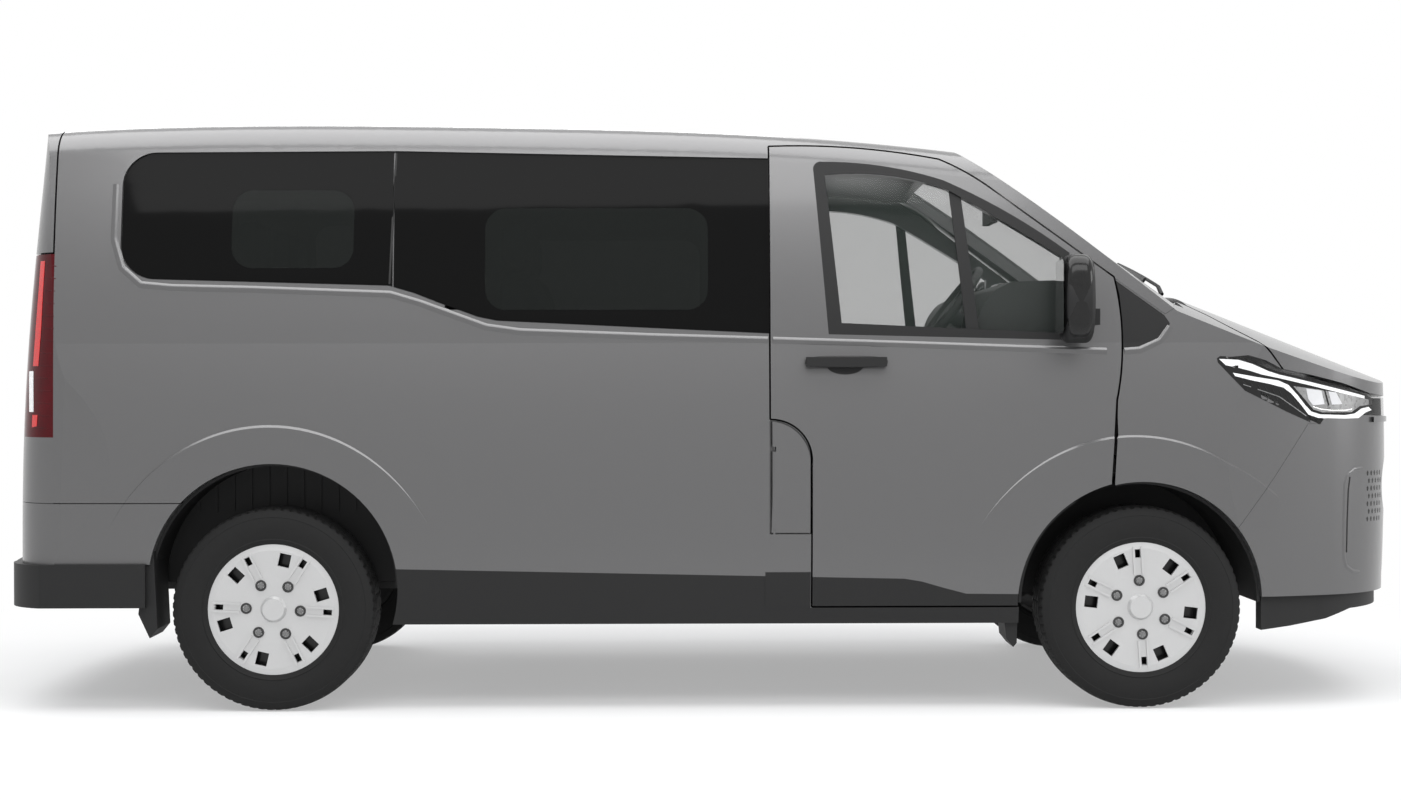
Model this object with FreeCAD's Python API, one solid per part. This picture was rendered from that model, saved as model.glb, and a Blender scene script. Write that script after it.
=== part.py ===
"""Short-wheelbase minibus: a front-engined people carrier with two hinged cab doors, a sliding
side door on the left, a top-hinged tailgate and eight seats. Millimetres, +X forward, +Y left,
+Z up, origin on the ground under the middle of the vehicle."""
import FreeCAD, Part
import math
import os

V = FreeCAD.Vector
os.makedirs("parts", exist_ok=True)

# ---------------------------------------------------------------- driving dimensions
wheelbase = 2933.0
front_axle_x = 1459.0
rear_axle_x = front_axle_x - wheelbase
nose_x = 2472.0
tail_x = -2425.0
roof_z = 2020.0
belt_z = 1240.0
belt_half_width = 962.0
sill_half_width = 986.0
wall = 55.0                   # thickness of a door or a body side with its lining
panel_gap = 6.0               # shut line between neighbouring panels
running_gap = 0.3             # play at hinges and seats
tyre_radius = 343.0
tyre_width = 215.0
rim_radius = 212.0
wheel_face_y = 965.0          # outer face of the tyres
kingpin_y = 800.0
front_arch_radius = 412.0
front_arch_z = 358.0
rear_arch_radius = 419.0
rear_arch_z = 417.0
floor_z = 560.0
floor_thickness = 60.0
glass_thickness = 6.0

wheel_y = wheel_face_y - tyre_width / 2

# hinge pins: cab doors (vertical), tailgate and bonnet (across), fuel flap (vertical)
door_hinge = (1310.0, -942.0)
door_hinge_levels = (800.0, 1150.0)
door_hinge_pin = 7.0
swing_clearance = 6.0         # room round the door's front edge as it turns
hatch_hinge = (-2241.0, 1990.0)
bonnet_hinge = (1640.0, 1375.0)
flap_hinge = (215.0, -977.0)


# ---------------------------------------------------------------- drawing helpers
def loop(plane, start, *moves, at=0.0):
    """Closed wire from lines (a point) and arcs (a pair: point on the arc, end point)."""
    put = {"xz": lambda p: V(p[0], at, p[1]),
           "yz": lambda p: V(at, p[0], p[1]),
           "xy": lambda p: V(p[0], p[1], at)}[plane]
    edges = []
    here = start
    for move in moves:
        if isinstance(move[0], tuple):
            via, there = move
            edges.append(Part.Arc(put(here), put(via), put(there)).toShape())
        else:
            there = move
            edges.append(Part.LineSegment(put(here), put(there)).toShape())
        here = there
    if here != start:
        edges.append(Part.LineSegment(put(here), put(start)).toShape())
    return Part.Wire(edges)


def polygon(plane, points, at=0.0):
    return loop(plane, points[0], *points[1:], at=at)


def push(wire, x=0.0, y=0.0, z=0.0):
    return Part.Face(wire).extrude(V(x, y, z))


def side_block(wire, y0, y1):
    """A side-view outline pushed across from y0 to y1."""
    face = Part.Face(wire)
    face.translate(V(0, y0, 0))
    return face.extrude(V(0, y1 - y0, 0))


def box(x0, x1, y0, y1, z0, z1):
    return Part.makeBox(x1 - x0, y1 - y0, z1 - z0, V(x0, y0, z0))


def rod_y(x, z, radius, y0, y1):
    return Part.makeCylinder(radius, y1 - y0, V(x, y0, z), V(0, 1, 0))


def rod(radius, a, b):
    a, b = V(*a), V(*b)
    return Part.makeCylinder(radius, (b - a).Length, a, b - a)


def fuse(shapes):
    shapes = list(shapes)
    return shapes[0].multiFuse(shapes[1:]).removeSplitter() if len(shapes) > 1 else shapes[0]


def mirrored(shape):
    return shape.mirror(V(0, 0, 0), V(0, 1, 0))


def pair(shape):
    """The right-hand piece and its left-hand twin."""
    return [shape, mirrored(shape)]


def moved(shape, x=0.0, y=0.0, z=0.0):
    twin = shape.copy()
    twin.translate(V(x, y, z))
    return twin


def grown(wire, by):
    return wire.makeOffset2D(by)


def biggest(shape):
    """The main solid of a cut, without the crumbs beyond a seam."""
    return max(shape.Solids, key=lambda solid: solid.Volume)


def plate(plane, points, a, b):
    """A flat outline pushed along the axis its plane lacks, from a to b."""
    way = {"xz": V(0, b - a, 0), "yz": V(b - a, 0, 0), "xy": V(0, 0, b - a)}[plane]
    return Part.Face(polygon(plane, points, at=a)).extrude(way)


def rod_z(x, y, radius, z0, z1):
    return Part.makeCylinder(radius, z1 - z0, V(x, y, z0), V(0, 0, 1))


def across_hinge(x, z, y0, y1, pin, eye):
    """A hinge on a pin across the vehicle: the eye turns between two fixed cheeks."""
    moving = rod_y(x, z, eye, y0, y1).cut(rod_y(x, z, pin + running_gap, y0 - 1, y1 + 1))
    cheek = 8.0
    fixed = [rod_y(x, z, pin, y0 - cheek, y1 + cheek),
             rod_y(x, z, eye, y0 - cheek, y0 - running_gap),
             rod_y(x, z, eye, y1 + running_gap, y1 + cheek)]
    return moving, fixed


def save(name, *shapes):
    solids = []
    for shape in shapes:
        solids += shape.Solids
    assert solids, name
    for solid in solids:
        assert solid.isValid() and solid.Volume > 0, name
    Part.makeCompound(solids).exportStep("parts/" + name + ".step")
    print(name, len(solids), round(sum(s.Volume for s in solids) / 1e6, 2), "litres")


# ---------------------------------------------------------------- body envelope
# flank: the lower arc bulges to the sill width, the upper one leans in to the cant rail
flank_low = (940.0, 290.0)
flank_mid = (sill_half_width, 740.0)
flank_belt = (belt_half_width, belt_z)
flank_up = (931.0, 1590.0)
flank_cant = (880.0, 1880.0)
rail_half_width = 765.0
rail_below_roof = 33.0


def circle_through(p, q, r):
    (ax, ay), (bx, by), (cx, cy) = p, q, r
    d = 2 * (ax * (by - cy) + bx * (cy - ay) + cx * (ay - by))
    a2, b2, c2 = ax * ax + ay * ay, bx * bx + by * by, cx * cx + cy * cy
    ux = (a2 * (by - cy) + b2 * (cy - ay) + c2 * (ay - by)) / d
    uy = (a2 * (cx - bx) + b2 * (ax - cx) + c2 * (bx - ax)) / d
    return ux, uy, math.hypot(ax - ux, ay - uy)


upper_flank = circle_through(flank_belt, flank_up, flank_cant)
lower_flank = circle_through(flank_low, flank_mid, flank_belt)


def flank_y(z):
    """Half-width of the body side at height z."""
    cy, cz, radius = upper_flank if z > belt_z else lower_flank
    return cy + math.sqrt(radius ** 2 - (z - cz) ** 2)


# roof drop along the body: x, how far the roof lies below its highest line
roof_stations = [(-2500.0, 48.0), (-1900.0, 0.0), (-700.0, 0.0), (0.0, 19.0),
                 (500.0, 52.0), (900.0, 97.0), (1500.0, 200.0), (2600.0, 420.0)]


def body_section(x, drop, inset):
    cant_z = flank_cant[1] - 0.8 * drop
    rail_z = roof_z - rail_below_roof - drop
    cant_y = flank_y(cant_z)
    up_z = (belt_z + cant_z) / 2
    low = (flank_low[0] - inset, flank_low[1] - inset)
    mid = (flank_mid[0] - inset, flank_mid[1])
    belt = (flank_belt[0] - inset, flank_belt[1])
    up = (flank_y(up_z) - inset, up_z)
    cant = (cant_y - inset, cant_z - 0.3 * inset)
    corner = (cant_y - 34 - 0.8 * inset, (cant_z + rail_z) / 2 + 17 - 0.7 * inset)
    rail = (rail_half_width - 0.3 * inset, rail_z - inset)
    top = (0.0, roof_z - drop - inset)

    def other(p):
        return (-p[0], p[1])

    return loop("yz", low, (mid, belt), (up, cant), (corner, rail), (top, other(rail)),
                (other(corner), other(cant)), (other(up), other(belt)),
                (other(mid), other(low)), at=x)


# plan outline at several heights: z, how far the tail and the nose stand in
plan_levels = [(200.0, 0.0, -14.0), (700.0, 0.0, 0.0), (1100.0, 14.0, -4.0),
               (1600.0, 56.0, -40.0), (2150.0, 110.0, -80.0)]


def plan_section(z, tail_in, nose_in, inset):
    tail = tail_x + tail_in + inset
    nose = nose_x + nose_in - inset
    side = 1012.0 - inset
    right = [(tail + 65, 760 - inset), (tail + 112, 895 - inset), (tail + 245, 975 - inset),
             (-1700.0, side), (1300.0, side), (1850 - 0.5 * inset, 968 - inset),
             (nose - 362, 895 - 0.9 * inset), (nose - 172, 775 - 0.7 * inset),
             (nose - 74, 600 - 0.5 * inset)]
    left = [(x, -y) for x, y in right]
    a, b, c, d, e, f, g, h, i = right
    la, lb, lc, ld, le, lf, lg, lh, li = left
    return loop("xy", la, ((tail, 0.0), a), (b, c), d, e, (f, g), (h, i), ((nose, 0.0), li),
                (lh, lg), (lf, le), ld, lc, (lb, la), at=z)


def crowned_block(stations, inset):
    """Everything below a sheet that is arched across the vehicle: x, height on the
    centre line, and how much lower it lies at one metre to the side."""
    half = 1200.0
    wires = []
    for x, z, fall in stations:
        sag = fall * 1.2 ** 2
        top = z - inset
        wires.append(loop("yz", (-half, top - sag), ((0.0, top), (half, top - sag)),
                          (half, -3000.0), (-half, -3000.0), at=x))
    return Part.makeLoft(wires, True, len(wires) == 2)


screen_rake = 0.585           # fall of the windscreen per unit of length
screen_height = 2417.9        # its centre line carried back to the origin
bonnet_fall = 0.398
bonnet_height = 2105.7
bonnet_crown = 143.0


def screen_z(x):
    return screen_height - screen_rake * x


def bonnet_z(x, y=0.0):
    return bonnet_height - bonnet_fall * x - bonnet_crown * (y / 1000.0) ** 2


def envelope(inset):
    """The closed body form, or the same form drawn in by a wall thickness."""
    sections = [body_section(x, drop, inset) for x, drop in roof_stations]
    plans = [plan_section(z, a, b, inset) for z, a, b in plan_levels]
    box_form = Part.makeLoft(sections, True, False)
    box_form = box_form.common(Part.makeLoft(plans, True, False))
    screen = [(-2700.0, screen_z(-2700.0), 42.0), (700.0, screen_z(700.0), 42.0),
              (1150.0, screen_z(1150.0), 75.0), (1600.0, screen_z(1600.0), 165.0),
              (2000.0, screen_z(2000.0), 220.0)]
    lean = math.sqrt(1 + screen_rake ** 2)
    rear = box(-2600, 700, -1300, 1300, 0, 2400)
    front = box(700, 2600, -1300, 1300, 0, 2400)
    cab_end = box_form.common(front)
    cab = cab_end.common(crowned_block(screen[1:], inset * lean))
    nose = cab_end.common(crowned_block([(600.0, bonnet_z(600.0), bonnet_crown),
                                         (2700.0, bonnet_z(2700.0), bonnet_crown)], inset))
    return fuse([box_form.common(rear), cab, nose])


# flared arches: the flank tilted out about a low line, inside a wide cone over each wheel
flare_cones = [(1432.0, 342.0, 586.0), (-1481.0, 385.0, 580.0)]      # x, z, radius
flare_shelf = 34.0            # how far the cone widens towards the middle of the vehicle
flare_height = 8.0
flare_low_z = 610.0
flare_top_z = 966.0


def flares(body):
    lean = math.degrees(math.atan(flare_height / (flare_top_z - flare_low_z)))
    tilted = body.copy()
    tilted.rotate(V(0, -sill_half_width, flare_low_z), V(1, 0, 0), lean)
    cones = [Part.makeCone(radius - flare_shelf, radius + flare_shelf, 2 * flare_shelf,
                           V(x, -1020, z), V(0, 1, 0))
             for x, z, radius in flare_cones]
    return tilted.common(Part.makeCompound(cones))


outer = envelope(0.0)
right_flares = flares(outer)
outer = fuse([outer, right_flares, mirrored(right_flares)])
cavity = envelope(wall + running_gap)
shell = outer.cut(envelope(wall))

# ---------------------------------------------------------------- seams in side view (x, z)
rear_seam_x = -2207.0
pillar_x = 204.0              # shut line between the cab door and the side behind it
door_bottom_z = 350.0
sill_bottom_z = 318.0
bumper_top_z = 702.0
bumper_skirt_z = 497.0
ditch_y = 755.0               # seam between roof and body side
roof_front_x = 838.0
hatch_x = -2238.0             # shut line between roof and tailgate
glass_sink = 8.0
seal = 0.3

door_top = [((500.0, 1905.0), (781.0, 1866.0)), ((890.0, 1808.0), (985.0, 1741.0)),
            (1366.0, 1461.0), ((1387.0, 1330.0), (1369.0, 1045.0)),
            (1353.0, 775.0), (1353.0, door_bottom_z)]
door_outline = loop("xz", (345.0, door_bottom_z), (345.0, 835.0),
                    ((308.0, 940.0), (pillar_x, 985.0)), (pillar_x, 1910.0), *door_top)
plain_door_outline = loop("xz", (pillar_x, door_bottom_z), (pillar_x, 1910.0), *door_top)
bonnet_seam = [(1733.0, 1341.0), (1790.0, 1297.0), (1868.0, 1245.0), (1904.0, 1206.0), (1947.0, 1150.0),
               (2060.0, 1128.0), (2167.0, 1103.0), (2291.0, 1066.0), (2560.0, 1036.0)]
front_end = polygon("xz", [(1340.0, 1479.7), (1540.0, 1336.0), (1640.0, 1400.0),
                           (1640.0, 1800.0), (2600.0, 1800.0), (2600.0, 100.0),
                           (1340.0, 100.0)])
bonnet_region = polygon("xz", bonnet_seam + [(2560.0, 1700.0), (1600.0, 1700.0),
                                                (1600.0, 1420.0)])
bumper_region = polygon("xz", [(2039.0, 965.0), (2012.0, 925.0), (1907.0, 774.0),
                               (1796.0, 628.0), (1740.0, 560.0), (1740.0, 100.0),
                               (2600.0, 100.0), (2600.0, 1100.0), (2291.0, 1066.0),
                               (2240.0, 993.0), (2103.0, 990.0), (2082.0, 962.0)])
lamp_outline = polygon("xz", [(1751.0, 1189.0), (1819.0, 1196.0), (1883.0, 1178.0),
                              (1947.0, 1146.0), (2291.0, 1062.0), (2420.0, 1046.0),
                              (2420.0, 985.0), (2240.0, 993.0), (2103.0, 990.0),
                              (2082.0, 962.0), (1989.0, 1001.0), (1862.0, 1065.0),
                              (1793.0, 1130.0)])
quarter_patch = polygon("xz", [(1369.0, 1453.0), (1535.0, 1333.0), (1554.0, 1306.0),
                               (1549.0, 1282.0), (1505.0, 1248.0), (1423.0, 1218.0),
                               (1382.0, 1218.0), (1386.0, 1318.0)])
black_band = polygon("xz", [(-1075.0, 480.0), (186.0, 453.0), (655.0, 443.0), (715.0, 433.0),
                            (791.0, 411.0), (866.0, 391.0), (1060.0, 389.0), (1060.0, 200.0),
                            (-1075.0, 200.0)])
side_glass_outline = loop("xz", (-1872.0, 1888.0), (-1062.0, 1893.0), (pillar_x - 3, 1868.0),
                          (pillar_x - 3, 1273.0), (-719.0, 1317.0), (-783.0, 1330.0),
                          (-902.0, 1373.0), (-999.0, 1411.0), (-1085.0, 1436.0),
                          (-1872.0, 1458.0), ((-1952.0, 1492.0), (-1985.0, 1575.0)),
                          (-1985.0, 1775.0), ((-1952.0, 1855.0), (-1872.0, 1888.0)))
fuel_outline = loop("xz", (pillar_x, 600.0), (pillar_x, 975.0),
                    ((300.0, 930.0), (336.0, 832.0)), (336.0, 600.0))


def both_sides(wire, y_in=500.0):
    return fuse([side_block(wire, -1200.0, -y_in), side_block(wire, y_in, 1200.0)])


def right_side(wire, y_in=500.0):
    return side_block(wire, -1200.0, -y_in)


gap = panel_gap / 2
seam = 1.0                    # line between fixed panels
arches = fuse([rod_y(x, z, r, y0, y1)
               for x, z, r in ((front_axle_x, front_arch_z, front_arch_radius),
                               (rear_axle_x, rear_arch_z, rear_arch_radius))
               for y0, y1 in ((-1100.0, -600.0), (600.0, 1100.0))])
skin = shell.cut(arches)
right = skin.common(box(-2600, 2600, -1200, -500, 0, 2200))

# room for the door's front edge to turn in: its profile, and how far a flare or corner stands
# proud of the flank there, revolved about the hinge pins
door_front_edge = [(1353.0, 345.0, 5.0), (1353.0, 775.0, 5.0), (1361.0, 905.0, 6.5), (1366.0, 990.0, 0.5),
                   (1369.0, 1045.0, 0.0), (1375.2, 1076.5, 0.0), (1381.0, 1112.0, 0.0), (1384.4, 1136.5, 0.0),
                   (1388.5, 1180.0, 0.0), (1390.6, 1237.0, 0.0), (1390.4, 1265.0, 0.0), (1387.5, 1322.0, 0.0),
                   (1380.0, 1400.0, 0.0), (1366.0, 1461.0, 0.0), (1313.0, 1500.0, 0.0)]
swing = [(math.hypot(x - door_hinge[0], flank_y(z) + door_hinge[1]) + proud + swing_clearance, z)
         for x, z, proud in door_front_edge]
swing_section = polygon("xz", [(0.0, swing[0][1])] + swing + [(0.0, swing[-1][1])])
door_relief = Part.Face(swing_section).revolve(V(0, 0, 0), V(0, 0, 1), 360)
door_relief = moved(door_relief, x=door_hinge[0], y=door_hinge[1])

# ---------------------------------------------------------------- body sides
def flank_zone(clear):
    """What lies outboard of the roof ditch and of the windscreen's edge."""
    x = roof_front_x + seal
    outline = polygon("xy", [(rear_seam_x, -1200.0), (rear_seam_x, -ditch_y - clear), (x, -ditch_y - clear),
                             (x, -728.0 - clear), (1650.0, -819.2 - clear), (1650.0, -1200.0)], at=200.0)
    return push(outline, z=1900.0)


window_cuts = fuse([box(-1935, -1207, -1200, -500, 1497, 1862),
                    box(-895, 0, -1200, -500, 1353, 1837)])


def inboard(shape, by):
    """The right-hand shape moved towards the middle."""
    return moved(shape, y=by)


def flush_glass(outline, sink):
    """A pane that follows the flank, its outer face sunk by the given depth."""
    block = right_side(outline)
    return block.common(inboard(outer, sink)).cut(inboard(outer, sink + glass_thickness))


side_blank = right.common(flank_zone(seal))
side_blank = side_blank.cut(right_side(grown(front_end, seam)))
side_blank = side_blank.cut(box(-2600, -1500, -1200, -500, 0, bumper_top_z + 3))
pocket = right_side(grown(side_glass_outline, 2.0)).cut(inboard(outer, glass_sink + glass_thickness + seal))
side_blank = side_blank.cut(pocket).cut(window_cuts)
sill_band = right_side(black_band).common(box(-1100, pillar_x - gap, -1200, -500, 0, 600))
sill_band = fuse([sill_band, box(pillar_x - gap, 1045, -1200, -500, 0, door_bottom_z - panel_gap)])
flap_depth = 16.0
flap_block = right_side(fuel_outline).cut(inboard(outer, flap_depth))
flap_pocket = right_side(grown(fuel_outline, 5.0)).cut(inboard(outer, flap_depth + 16.0))
slide_outline = polygon("xz", [(-1078.0, 480.0), (-1078.0, 1436.0), (-1066.0, 1900.0),
                               (pillar_x + 2, 1895.0), (pillar_x + 2, door_bottom_z + 1),
                               (-1040.0, door_bottom_z + 1)])


def left_side(wire, y_in=500.0):
    return side_block(wire, y_in, 1200.0)


other_blank = side_blank.copy()
side = side_blank.cut(right_side(grown(door_outline, panel_gap)))
sill_trim = biggest(side.common(sill_band))
flap_pins = [rod_z(flap_hinge[0], flap_hinge[1], 4.0, 585.0, 612.0),
             rod_z(flap_hinge[0], flap_hinge[1], 4.0, 880.0, 920.0),
             box(flap_hinge[0] - 4, flap_hinge[0] + 4, flap_hinge[1], -945.0, 880.0, 890.0)]
flap_bores = [rod_z(flap_hinge[0], flap_hinge[1], 4.0 + running_gap, z0, z1)
              for z0, z1 in ((595.0, 612.5), (874.0, 920.5))]
flap_bores.append(box(flap_hinge[0] - 20, flap_hinge[0] + 6, -1010.0, -940.0, 874.0, 890.3))
side = biggest(side.cut(sill_band).cut(flap_pocket).cut(door_relief))
side = fuse([side] + [pin.common(outer) for pin in flap_pins])
flap_reach = fuse([box(flap_hinge[0], 500, -1200, -500, 500, 1200),
                   rod_z(flap_hinge[0], flap_hinge[1], 9.5, 500, 1200)])
save("body_side_right", side)
save("fuel_flap", right.common(flap_block).common(flap_reach).cut(fuse(flap_bores)))
other_side = mirrored(other_blank.cut(right_side(grown(plain_door_outline, panel_gap))))
sliding = other_side.common(left_side(slide_outline))
other_side = other_side.cut(left_side(grown(slide_outline, panel_gap)))
other_trim = other_side.common(mirrored(sill_band))
other_side = other_side.cut(mirrored(sill_band)).cut(mirrored(door_relief))
other_side = biggest(other_side)
slide_rear_x = -1078.0
guides = [box(slide_rear_x - panel_gap, slide_rear_x + 5, y - 10, y + 10, z - 50, z + 50)
          for y, z in ((945.0, 700.0), (930.0, 1150.0))]
guides += [box(x - 50, x + 50, 905, 925, door_bottom_z - panel_gap + 1, door_bottom_z + 5)
           for x in (-600.0, 0.0)]
sliding = fuse([sliding] + guides)
slide_band = biggest(sliding.common(mirrored(right_side(black_band))))
sliding = biggest(sliding.cut(mirrored(right_side(black_band))))
save("body_side_left", other_side)
save("sliding_door", sliding)
save("sill_trims", sill_trim, biggest(other_trim), slide_band)

rear_glass = flush_glass(side_glass_outline, glass_sink)
split = box(-1073.0, -1068.0, -1200, -500, 1300, 2000)
panes = rear_glass.cut(split)
rear_pane = panes.common(box(-2100, -1071, -1200, 0, 1000, 2000))
front_pane = panes.common(box(-1071, 300, -1200, 0, 1000, 2000))
save("side_glass", rear_pane, front_pane, mirrored(rear_pane))
save("sliding_door_glass", mirrored(front_pane))

# ---------------------------------------------------------------- roof and screen
roof = shell.common(box(hatch_x + gap, roof_front_x, -ditch_y + seal, ditch_y - seal, 1700, 2200))
hatch_relief = rod_y(hatch_hinge[0], hatch_hinge[1], 17.5, -ditch_y, ditch_y)
roof = biggest(roof.cut(hatch_relief))
roof_cheeks = []
for y0 in (-308.0, -269.7, 262.0, 300.3):
    x, z = hatch_hinge
    roof_cheeks.append(rod_y(x, z, 6.0, y0, y0 + 7.7))
    roof_cheeks.append(box(x, x + 25, y0, y0 + 7.7, z - 8, z + 2))
for y0 in (-308.0, 262.0):
    roof_cheeks.append(rod_y(hatch_hinge[0], hatch_hinge[1], 4.0, y0, y0 + 46.0))
roof = fuse([roof] + roof_cheeks)
save("roof", roof)

screen_plan = polygon("xy", [(roof_front_x + seal, 728.0), (roof_front_x + seal, -728.0),
                             (1640.0, -818.0), (1640.0, 818.0)], at=1000.0)
screen_sheet = crowned_block([(700.0, screen_z(700.0), 42.0), (1150.0, screen_z(1150.0), 75.0),
                              (1600.0, screen_z(1600.0), 165.0),
                              (2000.0, screen_z(2000.0), 220.0)], 6.0)
windscreen = push(screen_plan, z=1200.0).common(screen_sheet)
windscreen = windscreen.cut(moved(screen_sheet, z=-glass_thickness * 1.16))
windscreen = windscreen.cut(crowned_block([(600.0, bonnet_z(600.0), bonnet_crown),
                                           (2700.0, bonnet_z(2700.0), bonnet_crown)], -2.0))
save("windscreen", windscreen)

cowl_plan = polygon("xy", [(1500.0, -860.0), (1500.0, 860.0), (1760.0, 860.0), (1760.0, -860.0)],
                    at=1200.0)
bonnet_rear = loop("xy", (1632.0, -1000.0), ((1716.0, 0.0), (1632.0, 1000.0)), (2600.0, 1000.0),
                   (2600.0, -1000.0), at=1000.0)
bonnet_sheet = crowned_block([(600.0, bonnet_z(600.0), bonnet_crown),
                              (2700.0, bonnet_z(2700.0), bonnet_crown)], 18.0)

# ---------------------------------------------------------------- cab doors
cab_glass_outline = loop("xz", (372.0, 1826.0), ((560.0, 1832.0), (812.0, 1780.0)),
                         ((1010.0, 1665.0), (1212.0, 1540.0)), (1204.0, 1254.0),
                         (428.0, 1290.0))
door_window = grown(cab_glass_outline, -18.0)
door_glass_sink = 20.0
glass_slot = right_side(cab_glass_outline).common(inboard(outer, door_glass_sink - seal))
glass_slot = glass_slot.cut(inboard(outer, door_glass_sink + glass_thickness + seal))


frame_outline = loop("xz", (352.0, 1835.0), ((362.0, 1853.0), (385.0, 1858.0)),
                     ((590.0, 1843.0), (795.0, 1794.0)), ((1010.0, 1684.0), (1219.0, 1545.0)),
                     (1222.0, 1249.0), (400.0, 1269.0))
frame_depth = 5.0
frame_zone = right_side(frame_outline).cut(right_side(door_window))
window_frame = frame_zone.common(outer).cut(inboard(outer, frame_depth))
division_bar = right_side(polygon("xz", [(812.0, 1781.0), (851.0, 1764.0), (912.0, 1262.0), (868.0, 1266.0)]))
division_bar = division_bar.common(right_side(grown(door_window, -seal)))
division_bar = division_bar.common(inboard(outer, 8.0)).cut(inboard(outer, door_glass_sink - seal))
hinge_levels = fuse([box(1200, 1500, -1100, -800, z - 30, z + 60) for z in door_hinge_levels])


def cab_door(outline):
    """A cab door without its glass, and the black band along its foot."""
    door = right.common(right_side(outline)).common(flank_zone(panel_gap))
    door = door.cut(right_side(door_window)).cut(glass_slot)
    door = door.cut(right_side(frame_outline).cut(inboard(outer, frame_depth + seal)))
    door = door.cut(rod_y(front_axle_x, front_arch_z, front_arch_radius + panel_gap, -1100.0, -600.0))
    x, y = door_hinge
    for z in door_hinge_levels:
        door = door.cut(box(x - 16, x + 90, y - 16, y + 90, z - 24, z))
        door = door.cut(box(x - 16, x + 90, y - 16, y + 90, z + 30, z + 54))
        door = fuse([door, rod_z(x, y, 15.0, z, z + 30), box(x - 15, x + 15, y - 22, y, z, z + 30)])
    door = door.cut(rod_z(x, y, door_hinge_pin + running_gap, 700, 1300).common(hinge_levels))
    band = right_side(black_band)
    return biggest(door.cut(band)), biggest(door.common(band))


door_right, band_right = cab_door(door_outline)
door_left, band_left = cab_door(plain_door_outline)
door_glass = flush_glass(grown(cab_glass_outline, -1.0), door_glass_sink)
save("door_right", door_right)
save("door_left", mirrored(door_left))
save("door_glass_right", door_glass)
save("door_glass_left", mirrored(door_glass))

# door mirrors and handles
mirror_head = loop("yz", (-1000.0, 1275.0), ((-1140.0, 1262.0), (-1165.0, 1300.0)),
                   ((-1175.0, 1420.0), (-1150.0, 1500.0)), ((-1090.0, 1528.0), (-1020.0, 1500.0)))
head = push(moved(mirror_head, x=1170.0), x=96.0)
head = head.makeFillet(20.0, [edge for edge in head.Edges if edge.BoundBox.XLength < 1.0])
head = fuse([head, box(1225, 1300, -1060, flank_y(1330.0) * -1 - 2, 1298, 1352)])
mirror = head.cut(inboard(outer, -seal))
handle = box(322, 593, -1010, -980, 1160, 1192)
handle = fuse([handle, box(330, 370, -990, -950, 1160, 1192), box(545, 585, -990, -950, 1160, 1192)])
handle = handle.cut(inboard(outer, -seal))
door_trims = [mirror, handle, window_frame, biggest(division_bar)]
save("door_trim_right", band_right, *door_trims)
save("door_trim_left", *[mirrored(piece) for piece in [band_left] + door_trims])

# ---------------------------------------------------------------- front end
front = skin.common(side_block(front_end, -1200, 1200))
bonnet = front.common(side_block(bonnet_region, -1200, 1200))
bonnet = bonnet.common(push(bonnet_rear, z=1000.0))
not_bonnet = front.cut(side_block(grown(bonnet_region, panel_gap), -1200, 1200))
lamps = both_sides(lamp_outline, 420.0)
lamp_r = not_bonnet.common(lamps).common(box(0, 2600, -1200, 0, 0, 2000))
ring = not_bonnet.cut(both_sides(grown(lamp_outline, seam), 418.0))
bumper_block = side_block(bumper_region, -1200, 1200)
bumper = ring.common(bumper_block).cut(box(0, 3000, -1200, 1200, 0, 378.0))
fender = ring.cut(side_block(grown(bumper_region, seam), -1200, 1200))
fender = fender.common(box(0, 2600, -1200, -600, 0, 2000)).cut(door_relief)
fender = fender.cut(right_side(grown(door_outline, panel_gap)))
fender = fender.cut(box(1300, 1634, -819.2 - seal, -500, 1200, 1500))
fender = fender.cut(box(1300, 1830, -705, -500, 1200, 1500))
patch = biggest(fender.common(right_side(quarter_patch)))
fender = biggest(fender.cut(right_side(grown(quarter_patch, seam))))
bx, bz = bonnet_hinge
bonnet_eye, bonnet_cheeks = across_hinge(bx, bz, -690.0, -665.0, 5.0, 9.0)
bonnet_arm = plate("xz", [(bx + 2, bz - 8.5), (bx + 2, bz + 7.5), (1700.0, 1345.0), (1780.0, 1325.0),
                          (1780.0, 1300.0)],
                   -690.0, -665.0).cut(rod_y(bx, bz, 8.0, -700, -650)).common(outer)
bonnet_arm = fuse([bonnet_arm, bonnet_eye])
bonnet = biggest(bonnet.cut(bonnet_sheet.common(box(1500, 1790, -1000, 1000, 1000, 1600))))
bonnet = fuse([bonnet] + pair(bonnet_arm))
save("bonnet", bonnet)
cowl_inner = moved(push(bonnet_rear, z=1000.0), x=-panel_gap - 4.0)
cowl = outer.common(push(cowl_plan, z=800.0)).common(bonnet_sheet).cut(cowl_inner)
cowl = cowl.cut(moved(bonnet_sheet, z=-30.0)).cut(windscreen)
for piece in (side, fender, patch):
    cowl = cowl.cut(piece).cut(mirrored(piece))
hinge_slot = box(bx - 18, 1800, -693.0, -662.0, 1250, 1500)
cowl = cowl.cut(fuse(pair(hinge_slot)))
bonnet_brackets = fuse(bonnet_cheeks)
cowl = biggest(fuse([cowl, bonnet_brackets, mirrored(bonnet_brackets)]))
save("cowl", cowl, *pair(patch))
save("headlamps", *pair(lamp_r))


def slot_block(half_width, z0, z1):
    """An opening with round ends, cut along the vehicle through the nose."""
    r = (z1 - z0) / 2
    zm = (z0 + z1) / 2
    y = half_width - r
    outline = loop("yz", (-y, z0), ((-half_width, zm), (-y, z1)), (y, z1), ((half_width, zm), (y, z0)),
                   at=2000.0)
    return push(outline, x=600.0)


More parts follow.
